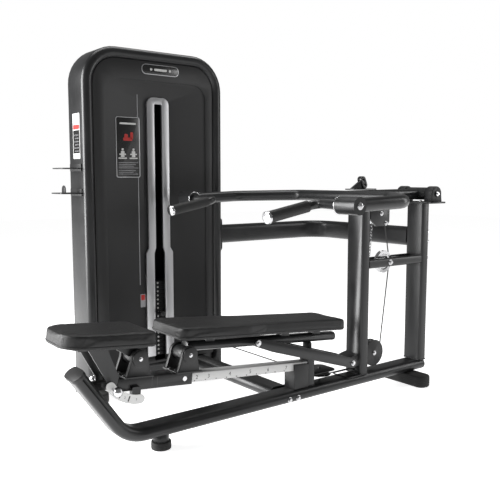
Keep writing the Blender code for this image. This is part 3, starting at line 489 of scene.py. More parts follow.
washer = node(bolt_heads, "GeometryNodeMeshCylinder",
              {"Vertices": 24, "Radius": given["Washer"], "Depth": 0.0024})
whole_bolt = node(bolt_heads, "GeometryNodeJoinGeometry")
for part in (head_set, crown_set, washer):
    bolt_heads.links.new(part.outputs[0], whole_bolt.inputs[0])
aim = node(bolt_heads, "GeometryNodeInputNamedAttribute", {"Name": "aim"}, data_type="FLOAT_VECTOR")
facing = node(bolt_heads, "FunctionNodeAlignRotationToVector", {"Vector": aim}, axis="Z")
set_bolts = node(bolt_heads, "GeometryNodeInstanceOnPoints", {
    "Points": given["Geometry"], "Instance": whole_bolt, "Rotation": facing,
})
closing(bolt_heads, set_bolts, given["Material"], result)


def aimed_points(spots):
    """Points with the direction that each one faces."""
    mesh = bpy.data.meshes.new("spots")
    mesh.from_pydata([tuple(place) for place, _ in spots], [], [])
    attribute = mesh.attributes.new("aim", "FLOAT_VECTOR", "POINT")
    for slot, (_, facing_to) in zip(attribute.data, spots):
        slot.vector = facing_to
    return mesh


def bolts(name, spots, body, width, height, washer, sides=6, material=bright_chrome, slot="chrome"):
    """Bolt heads, or round marks with many sides, on spots of (place, direction)."""
    return grown(name, bolt_heads, aimed_points(spots), body, slot,
                 Width=width, Height=height, Washer=washer, Sides=sides, Material=material)


NEAR, FAR, REAR, UP = (0, -1, 0), (0, 1, 0), (1, 0, 0), (0, 0, 1)
beam_bolts = [(at(x, -0.0495, 0.077), NEAR) for x in (0.590, 0.637)]
bolts("beam_bolts", beam_bolts, "root", 0.017, 0.007, 0.0115)


# Rubber feet: black moulded blocks under the beam and the tower, with grip ribs round their sides.

for foot in ("front_foot", "rear_foot", "tower_foot_left", "tower_foot_right"):
    dressed(foot, foot_rubber)
rib_loops = []
for foot, radius, heights in (
    ("front_foot", 0.0374, (0.009, 0.015, 0.021)),
    ("rear_foot", 0.036, (0.012, 0.020, 0.028, 0.036)),
    ("tower_foot_left", 0.033, (0.010, 0.018, 0.026, 0.034)),
    ("tower_foot_right", 0.033, (0.010, 0.018, 0.026, 0.034)),
):
    rib_loops += [[(x, y, z) for x, y in footprint(foot, radius)] for z in heights]
bars("foot_ribs", rib_loops, "root", "rubber", 0.0011, 0.006, 0.0, 8, foot_rubber, closed=True)


# Uprights: two rectangular steel tubes with soft corners. The front one stops the press arm on a
# rubber block, the rear one carries its pivot, and two oval pulley rails run between them.

for upright_part in ("front_upright", "rear_upright", "pulley_rail_near", "pulley_rail_far", "rail_post"):
    dressed(upright_part, charcoal_coat)
for block in ("arm_stop", "post_bumper"):
    dressed(block, foot_rubber)
rear_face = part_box("rear_upright")[1].x - 0.0004
middle_y = at(0, 0, 0).y
nut_y, nut_heights, stud_length = middle_y - 0.034, (0.742, 0.692), 0.023
rear_nuts = [(Vector((rear_face, nut_y, z)), REAR) for z in nut_heights]
rear_studs = [[(rear_face, nut_y, z), (rear_face + stud_length, nut_y, z)] for z in nut_heights]
rail_ends = [(Vector((rear_face, middle_y + y, 0.612)), REAR) for y in (-0.030, 0.030)]
bolts("upright_nuts", rear_nuts + rail_ends, "root", 0.018, 0.014, 0.012)
bars("upright_studs", rear_studs, "root", "chrome", 0.0048, 0.0012, 0.05, 14, bright_chrome)


# Link tube: a deep oval tube that ties the tower to the rear upright, bolted on by an end flange.

dressed("link_tube", charcoal_coat)
flange_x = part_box("link_tube")[0].x + 0.008
flange_bolts = [(Vector((flange_x - 0.0004, at(0, y, 0).y, z)), REAR)
                for y in (0.700, 0.760) for z in (0.645, 0.787)]
bolts("flange_bolts", flange_bolts, "root", 0.015, 0.006, 0.0105)


# Weight tower: an arch of deep rounded steel profile round a moulded front cover with a sunk field,
# a slim raised rib painted light grey as a painted highlight of a lit groove, a maker's capsule, an instruction
# placard and a stepped chrome frame for the slot.

panel_plastic, panel_tree, panel_shader, panel_grain = new_finish("moulded_cover", 3.0, 1500.0)
panel_place = node(panel_tree, "ShaderNodeTexCoord").outputs["Object"]
panel_height = node(panel_tree, "ShaderNodeSeparateXYZ", {0: panel_place}).outputs["Z"]
# Painted shade: the cover's colour runs from darker at the bottom to lighter at the top, as the light falls on it.
panel_painted_shade = mapped(panel_tree, panel_height, (0.15, 1.35), (0.0, 1.0))
panel_colour = mixed(panel_tree, panel_painted_shade.outputs[0], (0.005, 0.005, 0.0053), (0.019, 0.019, 0.0195))
panel_colour = mixed(panel_tree, panel_grain["Tone"], panel_colour, (0.012, 0.012, 0.0125))
panel_wear = grouped(panel_tree, worn_edges, {"Reach": 0.0020, "Amount": 0.25, "Patch Scale": 22.0})["Mask"]
panel_colour = mixed(panel_tree, panel_wear, panel_colour, (0.07, 0.07, 0.07))
panel_gloss = mapped(panel_tree, panel_grain["Tone"], (0.0, 1.0), (0.40, 0.56))
coated(panel_tree, panel_shader, panel_colour, panel_gloss, panel_grain["Height"], 0.28, 0.0003)

dressed("tower_arch", charcoal_coat)
dressed("tower_panel", panel_plastic, 0.0016)
dressed("tower_back", panel_plastic, 0.0012)

border_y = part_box("tower_panel")[0].y
field_y = border_y + 0.006


def flat_plates(name, pairs, material, body, slot, edge=0.0):
    """Plates in one piece, each between a back and a front ring of points; edge rounds the front."""
    bm = bmesh.new()
    for pair in pairs:
        back, front = [[bm.verts.new(place) for place in ring] for ring in pair]
        bm.faces.new(back)
        bm.faces.new(front)
        for i in range(len(back)):
            bm.faces.new((back[i - 1], back[i], front[i], front[i - 1]))
    bmesh.ops.recalc_face_normals(bm, faces=bm.faces)
    if edge:
        front_y = pairs[0][1][0][1]
        rims = [e for e in bm.edges if all(abs(v.co.y - front_y) < 1e-7 for v in e.verts)]
        bmesh.ops.bevel(bm, geom=rims, offset=edge, segments=2, affect="EDGES", profile=0.5)
    return fitted(piece_from(name, mesh_from(name, bm), material), body, slot)


def front_rings(low, high, radius, steps, y_back, y_front):
    """The rings of a rounded plate on the tower's front, by its (x, z) corners from the front foot."""
    outline = round_corners((at(low[0], 0, 0).x, low[1]), (at(high[0], 0, 0).x, high[1]), radius, steps)
    return [[(x, y, z) for x, z in outline] for y in (y_back, y_front)]


def front_plate(name, low, high, radius, y, thickness, material, edge=0.0):
    rings = front_rings(low, high, radius, 6, y + 0.0003, y - thickness)
    return flat_plates(name, [rings], material, "root", "panel_black", edge)


trim_grey = finish_of(
    "satin_trim", (0.42, 0.42, 0.43), (0.50, 0.50, 0.51), 0.34, metallic=0.5, broad=20.0, fine=900.0, bump=0.1,
)
white_print = finish_of("white_print", (0.50, 0.50, 0.49), (0.62, 0.62, 0.61), 0.45, broad=40.0, fine=900.0)
red_print = finish_of("red_print", (0.36, 0.02, 0.018), (0.46, 0.028, 0.022), 0.42, broad=40.0, fine=900.0)
# Grey print for the placard lines and labels; the same light grey on the cover's slim rib is a painted highlight
# of a lit groove.
grey_print_and_painted_highlight = finish_of("grey_print_and_painted_highlight", (0.26, 0.26, 0.27), (0.33, 0.33, 0.34), 0.45, broad=40.0, fine=900.0)
brushed_frame = finish_of(
    "brushed_slot_frame", (0.40, 0.40, 0.41), (0.52, 0.52, 0.53), 0.36, metallic=0.85, broad=5.0, fine=1400.0,
    bump=0.12, worn=(0.70, 0.70, 0.71), wear=0.5,
)
# Black print of the signs; the same black on the tilt plate's slots and the carriage sleeve's grooves is painted
# shade.
sign_black_and_painted_shade = finish_of("sign_black_and_painted_shade", (0.006, 0.006, 0.006), (0.010, 0.010, 0.010), 0.22, broad=15.0, fine=700.0,
                       bump=0.04, coat=0.4)

dressed("slot_bezel", brushed_frame, 0.0022)
# Painted highlight: the slim rib is light grey where the cover's groove catches the light.
front_plate("trim_rib_painted_highlight", (0.2895, 0.500), (0.2930, 1.385), 0.0016, field_y, 0.0009, grey_print_and_painted_highlight, edge=0.0004)
front_plate("capsule_rim", (0.313, 1.479), (0.511, 1.526), 0.0225, border_y, 0.0022, trim_grey, edge=0.0006)
front_plate("capsule_face", (0.3160, 1.4820), (0.5080, 1.5230), 0.0195, border_y, 0.0030, sign_black_and_painted_shade, edge=0.0006)
for word, low, high in (("bar", 0.378, 0.446), ("dot_left", 0.356, 0.368), ("dot_right", 0.456, 0.468)):
    front_plate(f"capsule_{word}", (low, 1.4970), (high, 1.5080), 0.0053, border_y, 0.0033, white_print)
front_plate("placard_rim", (0.180, 1.005), (0.301, 1.280), 0.010, field_y, 0.0020, trim_grey, edge=0.0005)
front_plate("placard_face", (0.1835, 1.0085), (0.2975, 1.2765), 0.0072, field_y, 0.0027, sign_black_and_painted_shade, edge=0.0005)


def sign_marks(name, boxes, y, thickness, material, radius=0.0012):
    """Small printed blocks, all in one piece."""
    pairs = []
    for low, high in boxes:
        small = min(radius, 0.45 * min(high[0] - low[0], high[1] - low[1]))
        pairs.append(front_rings(low, high, small, 3, y + 0.0002, y - thickness))
    return flat_plates(name, pairs, material, "root", "panel_black")


sign_y = field_y - 0.0027
arm_marks = [((0.216, 1.172), (0.262, 1.187)), ((0.252, 1.180), (0.266, 1.212)), ((0.222, 1.186), (0.240, 1.203))]
sign_marks("placard_arm", arm_marks, sign_y, 0.0004, red_print, 0.005)
sign_marks("placard_title", [((0.200, 1.246), (0.281, 1.254))], sign_y, 0.0004, white_print)
figures = []
for left in (0.191, 0.246):
    figures += [((left + 0.016, 1.128), (left + 0.026, 1.138)), ((left + 0.012, 1.098), (left + 0.030, 1.126)),
                ((left, 1.090), (left + 0.042, 1.096)), ((left + 0.004, 1.108), (left + 0.012, 1.114)),
                ((left + 0.030, 1.108), (left + 0.038, 1.114))]
sign_marks("placard_figures", figures, sign_y, 0.0004, white_print, 0.003)
sign_marks("placard_lines", [((0.191, z), (0.290 - 0.012 * (i % 3), z + 0.0022)) for i, z in enumerate(
    (1.072, 1.064, 1.056, 1.048, 1.036, 1.028, 1.020))], sign_y, 0.0004, grey_print_and_painted_highlight, 0.0008)
sign_marks("small_label", [((0.292, 0.392), (0.318, 0.455))], field_y, 0.0006, grey_print_and_painted_highlight, 0.002)
sign_marks("small_label_red", [((0.295, 0.426), (0.315, 0.452))], field_y - 0.0006, 0.0003, red_print, 0.002)


def side_plate(name, low, high, material, thickness):
    """A label on the arch's outer left side, given by its (y, z) corners."""
    side_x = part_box("tower_arch")[0].x
    outline = round_corners((at(0, low[0], 0).y, low[1]), (at(0, high[0], 0).y, high[1]), 0.003, 4)
    rings = [[(x, y, z) for y, z in outline] for x in (side_x + 0.0002, side_x - thickness)]
    return flat_plates(name, [rings], material, "root", "frame_paint")


side_plate("side_label", (0.716, 1.088), (0.790, 1.288), white_print, 0.0005)
side_plate("side_label_body", (0.720, 1.112), (0.786, 1.214), sign_black_and_painted_shade, 0.0008)
side_plate("side_label_band", (0.720, 1.218), (0.786, 1.238), red_print, 0.0008)
for index, low in enumerate((1.190, 1.176, 1.162, 1.148, 1.134, 1.120)):
    line_end = 0.780 - 0.010 * (index % 2)
    side_plate(f"side_label_line_{index}", (0.726, low), (line_end, low + 0.004), grey_print_and_painted_highlight, 0.0010)


# Accessory trays: two thin bent steel shelves on the tower's left side.

for tray in ("tray_upper", "tray_lower"):
    dressed(tray, moulded_black, 0.0006)


# Weight stack: cast plates with chamfered edges on two polished rods, a round label dot at the end of
# each plate, and a selector pin. The upper block goes up with the press arm, the lower one stays.

cast_black = finish_of(
    "cast_plate", (0.008, 0.008, 0.0085), (0.015, 0.015, 0.016), 0.50, metallic=0.4, broad=30.0, fine=500.0,
    bump=0.5, depth=0.0008, worn=(0.14, 0.14, 0.14), wear=0.6, dust=0.10,
)
plate_pile, given, result = grower("plate_pile", [
    ("Geometry", GEOMETRY, None), ("Count", INTEGER, 8), ("Pitch", FLOAT, 0.0204), ("Gap", FLOAT, 0.0006),
    ("Width", FLOAT, 0.290), ("Depth", FLOAT, 0.088), ("Rod Spacing", FLOAT, 0.210),
    ("Rod Radius", FLOAT, 0.0105), ("Material", MATERIAL, None),
])
thick = maths(plate_pile, "SUBTRACT", given["Pitch"], given["Gap"])
plate_size = node(plate_pile, "ShaderNodeCombineXYZ", {"X": given["Width"], "Y": given["Depth"], "Z": thick})
plate = node(plate_pile, "GeometryNodeMeshCube", {"Size": plate_size})
hole = node(plate_pile, "GeometryNodeMeshCylinder", {"Vertices": 24, "Radius": given["Rod Radius"], "Depth": 0.1})
half_spacing = maths(plate_pile, "MULTIPLY", given["Rod Spacing"], 0.5)
other_spacing = maths(plate_pile, "MULTIPLY", given["Rod Spacing"], -0.5)
drilled = plate.outputs[0]
for spacing in (half_spacing, other_spacing):
    drill = moved(plate_pile, hole, X=spacing)
    bored = node(plate_pile, "GeometryNodeMeshBoolean", {"Mesh 1": drilled, "Mesh 2": drill},
                 operation="DIFFERENCE", solver="EXACT")
    drilled = bored.outputs[0]
step_up = node(plate_pile, "ShaderNodeCombineXYZ", {"Z": given["Pitch"]})
half_pitch = maths(plate_pile, "MULTIPLY", given["Pitch"], 0.5)
first_place = node(plate_pile, "ShaderNodeCombineXYZ", {"Z": half_pitch})
spots = node(plate_pile, "GeometryNodeMeshLine", {
    "Count": given["Count"], "Start Location": first_place, "Offset": step_up,
})
spots_at = node(plate_pile, "GeometryNodeInstanceOnPoints", {"Points": spots, "Instance": drilled})
base = node(plate_pile, "GeometryNodeInstanceOnPoints", {"Points": given["Geometry"], "Instance": spots_at})
closing(plate_pile, base, given["Material"], result)

plate_pitch, plate_gap, rod_spacing = 0.0204, 0.0006, 0.210
lifted_plates, resting_plates = 8, 10
rod_mid = (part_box("guide_rod_left")[0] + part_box("guide_rod_right")[1]) / 2
for block, count, body in (("stack_resting", resting_plates, "root"), ("stack_lifted", lifted_plates, "stack")):
    low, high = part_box(block)
    seat_of_pile = bpy.data.meshes.new("pile_base")
    seat_of_pile.from_pydata([(rod_mid.x, (low.y + high.y) / 2, low.z)], [], [])
    pile = grown(f"{block}_plates", plate_pile, seat_of_pile, body, "cast_iron", (block,),
                 Count=count, Pitch=plate_pitch, Gap=plate_gap, Width=high.x - low.x, Depth=high.y - low.y,
                 Rod_Spacing=rod_spacing, Rod_Radius=0.0105, Material=cast_black)
    chamfer = pile.modifiers.new("chamfer", "BEVEL")
    chamfer.width = 0.0014
    chamfer.segments = 1
    chamfer.limit_method = "ANGLE"
    chamfer.angle_limit = radians(50)
    settled(pile)
    dots = [(Vector((at(x, 0, 0).x, low.y - 0.0002, low.z + plate_pitch * (i + 0.5))), NEAR)
            for i in range(count) for x in (0.3735, 0.397)]
    bolts(f"{block}_dots", dots, body, 0.0085, 0.0004, 0.0045, sides=16, material=white_print, slot="white_paint")
stem_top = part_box("stack_lifted")[1].z
stem_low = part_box("stack_lifted")[0].z + lifted_plates * plate_pitch
for rod_name in ("guide_rod_left", "guide_rod_right"):
    dressed(rod_name, bright_chrome)
dressed("selector_pin", moulded_black, 0.001)

round_tube, given, result = grower("round_tube", [
    ("Geometry", GEOMETRY, None), ("Radius", FLOAT, 0.02), ("Bend", FLOAT, 0.05), ("Sides", INTEGER, 32),
    ("Material", MATERIAL, None),
])
bent = node(round_tube, "GeometryNodeFilletCurve", {
    "Curve": line_of(round_tube, given), "Count": 12, "Radius": given["Bend"], "Limit Radius": True,
}, mode="POLY")
wall = swept(round_tube, bent, given["Sides"], given["Radius"])
closing(round_tube, wall, given["Material"], result)
stem = [(rod_mid.x, rod_mid.y, stem_low - 0.002), (rod_mid.x, rod_mid.y, stem_top)]
grown("lifting_stem", round_tube, line_mesh([stem]), "stack", "cast_iron",
      Radius=0.008, Bend=0.001, Sides=20, Material=bright_chrome)


# Press arm: a bent round tube that narrows towards the pivot, a spine back to the hub, two end
# sleeves for the handles, the lever plate that pulls the cable, and the handle bracket on top.

pivot = next(j for j in frame["joints"] if j["name"] == "press_arm_pivot")["pos_m"]
arm_end_x, arm_end_z, sleeve_radius = 0.455, 0.908, 0.031
arm_half = [at(arm_end_x, 0.510, arm_end_z), at(0.734, 0.511, 0.917), at(0.931, 0.284, 0.923)]
arm_other = [Vector((p.x, 2 * middle_y - p.y, p.z)) for p in arm_half]
hub = Vector(pivot)
tubes = (
    ("arm_bow", [arm_other + arm_half[::-1]], 0.025, 0.075),
    ("arm_spine", [[Vector((arm_half[-1].x, hub.y, arm_half[-1].z)), hub]], 0.0243, 0.01),
    ("arm_hub", [[hub + Vector((0, -0.058, 0)), hub + Vector((0, 0.058, 0))]], 0.030, 0.01),
    ("arm_axle", [[hub + Vector((0, -0.112, 0)), hub + Vector((0, 0.112, 0))]], 0.0125, 0.01),
    ("arm_sleeves", [[at(arm_end_x, side * y, arm_end_z) for y in (0.462, 0.558)] for side in (-1, 1)],
     sleeve_radius, 0.01),
)
for name, runs, radius, bend in tubes:
    stands_for = ("arm_frame",) if name == "arm_bow" else ()
    grown(name, round_tube, line_mesh(runs), "press_arm", "frame_paint", stands_for,
          Radius=radius, Bend=bend, Sides=36, Material=charcoal_coat)
dressed("lever_plate", charcoal_coat, 0.0012)
dressed("handle_bracket", charcoal_coat, 0.0012)
dressed("pivot_plate", charcoal_coat, 0.0012)
for block in ("bearing_block_near", "bearing_block_far"):
    dressed(block, cast_black, 0.0020)

sleeve_edges = []
for side in (-1, 1):
    ring_points = [(cos(a), sin(a)) for a in [2 * pi * i / 28 for i in range(28)]]
    sleeve_edges.append([at(arm_end_x + sleeve_radius * c, side * 0.4625, arm_end_z + sleeve_radius * s)
                         for c, s in ring_points])
bars("sleeve_rings", sleeve_edges, "press_arm", "chrome", 0.0014, 0.005, 0.0, 10, bright_chrome, closed=True)
sleeve_caps = [(at(arm_end_x, side * 0.5575, arm_end_z), (0, side, 0)) for side in (-1, 1)]
bolts("sleeve_caps", sleeve_caps, "press_arm", 0.024, 0.0030, 0.0130, sides=32)
axle_caps = [(Vector((hub.x, hub.y + side * 0.1119, hub.z)), (0, side, 0)) for side in (-1, 1)]
bolts("axle_caps", axle_caps, "press_arm", 0.014, 0.006, 0.0090)
lever_face = 0.0058
lever_bolts = [(at(1.184, -lever_face, 0.838), NEAR), (at(1.184, lever_face, 0.838), FAR),
               (at(1.216, -lever_face, 0.792), NEAR)]
bolts("lever_bolts", lever_bolts, "press_arm", 0.016, 0.006, 0.011)
plate_bolts = [(at(1.409, y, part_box("pivot_plate")[1].z - 0.0003), UP) for y in (-0.050, 0.050)]
bolts("pivot_plate_bolts", plate_bolts, "root", 0.014, 0.006, 0.010)


# Handles: steel necks that turn in the arm's end sleeves, with ringed rubber grips and chrome ends.

grip_rubber = finish_of("grip_rubber", (0.009, 0.009, 0.009), (0.016, 0.016, 0.016), 0.62, broad=30.0,
                        fine=1200.0, bump=0.4, worn=(0.04, 0.04, 0.04), wear=0.3, dust=0.04)
for side, word in ((-1, "near"), (1, "far")):
    start = at(arm_end_x, side * 0.4617, arm_end_z)
    neck = start - Vector((0, side * 0.016, 0))
    elbow = at(0.478, side * 0.325, 0.910)
    tip = at(0.241, side * 0.322, 0.865)
    reach_to = (tip - elbow).normalized()
    grip_stop = tip - reach_to * 0.012
    grip_start = elbow + reach_to * 0.050
    body = f"handle_{word}"
    grown(f"handle_{word}_neck", round_tube, line_mesh([[start, neck, elbow, grip_stop - reach_to * 0.02]]), body,
          "frame_paint", (body,), Radius=0.0165, Bend=0.032, Sides=28, Material=charcoal_coat)
    bars(f"grip_{word}", [[grip_start, grip_stop - reach_to * 0.0003]], body, "rubber",
         0.0212, 0.0016, 0.022, 32, grip_rubber)
    dressed(f"grip_cap_{word}", bright_chrome, 0.0018)


# Pulleys: grooved wheels on bolts. The high one is bright and open between its rails, the low one
# runs between two round black covers, and the last one lies flat beside the beam.

def turned(profile, sides, place, closed=False):
    """A profile of (radius, height) turned round; place(radius, angle, height) gives each point."""
    bm = bmesh.new()
    rings = []
    for radius, height in profile:
        count = sides if radius > 1e-5 else 1
        rings.append([bm.verts.new(place(radius, 2 * pi * i / sides, height)) for i in range(count)])
    for index in range(0 if closed else 1, len(rings)):
        first, second = rings[index - 1], rings[index]
        for i in range(sides):
            corners = (first[i % len(first)], first[(i + 1) % len(first)],
                       second[(i + 1) % len(second)], second[i % len(second)])
            bm.faces.new(list(dict.fromkeys(corners)))
    bmesh.ops.recalc_face_normals(bm, faces=bm.faces)
    return bm


def wheel(name, body, groove, lying, material, slot):
    """A grooved wheel with a thick rim, a thin dished web and a hub, on its body's node."""
    rim = groove + 0.007
    floor_radius = groove - 0.0034
    web = 0.0035
    centre = middle_of(body)
    half = [(floor_radius, 0.0015), (rim, 0.009), (rim - 0.001, 0.010), (floor_radius - 0.004, 0.0090),
            (floor_radius - 0.008, web), (0.018, web), (0.016, 0.0085), (0.014, 0.010), (0.0063, 0.010)]
    profile = [(radius, -height) for radius, height in half[::-1]] + half

    def place(radius, angle, height):
        across, along = radius * cos(angle), radius * sin(angle)
        return centre + Vector((across, along, height) if lying else (across, height, along))

    mesh = mesh_from(name, turned(profile, 48, place, closed=True))
    return fitted(piece_from(name, mesh, material), body, slot, body)


def middle_of(cad_node):
    low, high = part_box(cad_node)
    return (low + high) / 2


high_groove, low_groove, turn_groove = 0.045, 0.053, 0.045
wheel("high_sheave", "high_pulley", high_groove, False, bright_chrome, "chrome")
wheel("low_sheave", "low_pulley", low_groove, False, moulded_black, "black_plastic")
wheel("turn_sheave", "turn_pulley", turn_groove, True, moulded_black, "black_plastic")
dressed("high_axle", bright_chrome)
dressed("turn_bracket", moulded_black, 0.0008)
for cover in ("pulley_cover_near", "pulley_cover_far"):
    dressed(cover, moulded_black, 0.0010)
low_mid, high_mid = middle_of("low_pulley"), middle_of("high_pulley")
near_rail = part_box("pulley_rail_near")[0].y
far_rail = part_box("pulley_rail_far")[1].y
axle_bolts = [(Vector((high_mid.x, near_rail + 0.0003, high_mid.z)), NEAR),
              (Vector((high_mid.x, far_rail - 0.0003, high_mid.z)), FAR)]
bolts("pulley_bolts", axle_bolts, "root", 0.019, 0.008, 0.0135)
cover_bolts = [(Vector((low_mid.x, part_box("pulley_cover_near")[0].y + 0.0004, low_mid.z)), NEAR),
               (Vector((low_mid.x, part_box("pulley_cover_far")[1].y - 0.0004, low_mid.z)), FAR)]
bolts("cover_bolts", cover_bolts, "root", 0.015, 0.005, 0.0105)


# Cable and chain: a black coated steel cable held taut over the pulleys, and a short chain of
# bright links that hangs plumb from the lever plate.

cable_coat = finish_of("cable_coat", (0.010, 0.010, 0.010), (0.018, 0.018, 0.018), 0.34, broad=60.0,
                       fine=1600.0, bump=0.4)


def arc_points(centre, radius, start, stop, steps):
    return [(centre[0] + radius * cos(a), centre[1] + radius * sin(a))
            for a in [start + (stop - start) * i / steps for i in range(steps + 1)]]


high_wheel, low_wheel, turn_wheel = (1.205, 0.612), (1.138, 0.185), (0.845, 0.045)
low_run = low_wheel[1] - low_groove
lever_end, high_in = at(1.216, 0.0, 0.779), at(1.234, 0.0, 0.690)
upper_run = [lever_end + (high_in - lever_end) * (i / 10) for i in range(11)]
route = upper_run + [at(x, 0.0, z) for x, z in arc_points(high_wheel, high_groove, radians(8), radians(-9), 4)]
route += [at(x, 0.0, z) for x, z in arc_points(low_wheel, low_groove, radians(-9), radians(-90), 12)]
route += [at(x, y, low_run) for x, y in arc_points(turn_wheel, turn_groove, radians(-90), radians(-171), 12)]
route += [at(0.688, 0.706, 0.178)]
drive_cable = grown("drive_cable", round_tube, line_mesh([route]), "root", "cable_black", ("cable",),
                    Radius=0.0028, Bend=0.0001, Sides=12, Material=cable_coat)
drive_cable.parent = None
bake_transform(drive_cable)

chain_links, given, result = grower("chain_links", [
    ("Geometry", GEOMETRY, None), ("Pitch", FLOAT, 0.012), ("Wire", FLOAT, 0.0014), ("Width", FLOAT, 0.0085),
    ("Length", FLOAT, 0.0165), ("Material", MATERIAL, None),
])
spaced = spaced_line(chain_links, given, "Pitch")
link_line = node(chain_links, "GeometryNodeCurvePrimitiveQuadrilateral",
                 {"Width": given["Width"], "Height": given["Length"]})
link_bend = maths(chain_links, "MULTIPLY", given["Width"], 0.49)
link_round = node(chain_links, "GeometryNodeFilletCurve", {
    "Curve": link_line, "Count": 5, "Radius": link_bend, "Limit Radius": True,
}, mode="POLY")
link = swept(chain_links, link_round, 8, given["Wire"], capped=False)
along = node(chain_links, "GeometryNodeInputTangent")
upright_link = node(chain_links, "FunctionNodeAlignRotationToVector", {"Vector": along}, axis="Y")
quarter_turn = maths(chain_links, "MULTIPLY", node(chain_links, "GeometryNodeInputIndex"), pi / 2)
twist = node(chain_links, "FunctionNodeAxisAngleToRotation", {"Axis": (0.0, 1.0, 0.0), "Angle": quarter_turn})
turned_link = node(chain_links, "FunctionNodeRotateRotation", {
    "Rotation": upright_link, "Rotate By": twist,
}, rotation_space="LOCAL")
hung = node(chain_links, "GeometryNodeInstanceOnPoints", {
    "Points": spaced, "Instance": link, "Rotation": turned_link,
})
closing(chain_links, hung, given["Material"], result)
chain_low, chain_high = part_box("stop_chain")
chain_run = [Vector((chain_high.x - 0.0045, middle_y, chain_high.z - 0.009)),
             Vector((chain_low.x + 0.0045, middle_y, chain_low.z + 0.009))]
grown("chain", chain_links, line_mesh([chain_run]), body_of["stop_chain"], "chrome", ("stop_chain",),
      Pitch=0.0125, Wire=0.0014, Width=0.0085, Length=0.0165, Material=bright_chrome)


# Guide rail: a white enamelled bar that falls slightly to the rear, held by a black bracket on the
# beam, with generic numbers and marks on its near side.

white_enamel = finish_of("white_enamel", (0.64, 0.64, 0.635), (0.72, 0.72, 0.715), 0.34, broad=10.0, fine=700.0,
                         bump=0.08, worn=(0.35, 0.34, 0.33), wear=0.5, dust=0.10)
dressed("guide_rail", white_enamel, 0.0008)
dressed("rail_bracket", moulded_black, 0.0015)
rail_fall, rail_zero = radians(5.2), 0.2635


def on_rail(u, y, w):
    """A place u along the rail, y across it and w above its centre line."""
    return at(u * cos(rail_fall) + w * sin(rail_fall), y, rail_zero - u * sin(rail_fall) + w * cos(rail_fall))


rail_face = -0.025


def number(name, text, place_u, place_w, face_y, size, material, body, slot):
    """A raised figure on a face that looks towards the user."""
    curve = bpy.data.curves.new(name, "FONT")
    curve.body = text
    curve.size = size
    curve.align_x, curve.align_y = "CENTER", "CENTER"
    curve.extrude = 0.0002
    letter = bpy.data.objects.new(name, curve)
    bpy.context.scene.collection.objects.link(letter)
    seen = bpy.context.evaluated_depsgraph_get()
    mesh = bpy.data.meshes.new_from_object(letter.evaluated_get(seen), depsgraph=seen)
    bpy.data.objects.remove(letter)
    for vertex in mesh.vertices:
        x, y, depth = vertex.co
        vertex.co = on_rail(place_u + x, face_y - depth, place_w + y)
    return fitted(piece_from(name, mesh, material), body, slot)


print_grey = finish_of("number_ink", (0.03, 0.03, 0.032), (0.05, 0.05, 0.052), 0.5, broad=40.0, fine=900.0)
for text, u in zip("234567", (0.1446, 0.1988, 0.2992, 0.4007, 0.4940, 0.5915)):
    number(f"rail_number_{text}", text, u, 0.0, rail_face, 0.021, print_grey, "root", "white_paint")
tick_spots = [(on_rail(0.135 + 0.0496 * i, rail_face + 0.0003, -0.0125), NEAR) for i in range(10)]
bolts("rail_marks", tick_spots, "root", 0.0042, 0.0004, 0.0021, sides=12, material=print_grey, slot="white_paint")


# Carriage: a steel sleeve on the rail with the two hinge brackets, the tilt plate and the spring
# pin. The hinge bolts run through round black covers.

dressed("carriage_sleeve", charcoal_coat, 0.0008)
dressed("seat_bracket", moulded_black, 0.0014)
dressed("back_bracket", moulded_black, 0.0014)
dressed("rail_pin", bright_chrome, 0.0012)
seat_hinge, back_hinge = (-0.116, 0.094), (0.092, 0.093)
hinge_bolts = [(on_rail(u, side * 0.0538, w), (0, side, 0))
               for u, w in (seat_hinge, back_hinge) for side in (-1, 1)]
bolts("hinge_bolts", hinge_bolts, "carriage", 0.012, 0.0045, 0.0075)
rail_up = (sin(rail_fall), 0, cos(rail_fall))
base_bolts = [(on_rail(u, side * 0.020, 0.0321), rail_up)
              for u in (-0.158, -0.074, 0.050, 0.134) for side in (-1, 1)]
bolts("base_bolts", base_bolts, "carriage", 0.011, 0.004, 0.0085)
bolts("pin_hole_rim", [(on_rail(0.085, -0.0338, 0.002), NEAR)], "carriage", 0.0150, 0.0009, 0.0090, sides=28)


def carriage_plate(name, outline, y_back, y_front, material, slot):
    """A flat plate standing along the rail, from a (u, w) outline."""
    rings = [[on_rail(u, y, w) for u, w in outline] for y in (y_back, y_front)]
    return flat_plates(name, [rings], material, "carriage", slot)


def tilt_spot(radius, degrees_round):
    """A (u, w) place round the seat's hinge."""
    turn = radians(degrees_round)
    return (seat_hinge[0] + radius * cos(turn), seat_hinge[1] + radius * sin(turn))


plate_inner, plate_outer, plate_start, plate_stop = 0.125, 0.158, 218, 273
plate_middle, plate_half = (plate_inner + plate_outer) / 2, (plate_outer - plate_inner) / 2
plate_sweep = plate_stop - plate_start
plate_edge = [tilt_spot(plate_outer, plate_start + i * plate_sweep / 24) for i in range(25)]
for end, first in ((plate_stop, plate_stop), (plate_start, plate_start + 180)):
    middle = tilt_spot(plate_middle, end)
    if end == plate_start:
        plate_edge += [tilt_spot(plate_inner, plate_stop - i * plate_sweep / 24) for i in range(25)]
    plate_edge += [(middle[0] + plate_half * cos(radians(first + a)),
                    middle[1] + plate_half * sin(radians(first + a))) for a in range(15, 180, 15)]
tilt_face = carriage_plate("tilt_face", plate_edge, -0.0535, -0.0575, white_enamel, "white_paint")
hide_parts("tilt_plate")
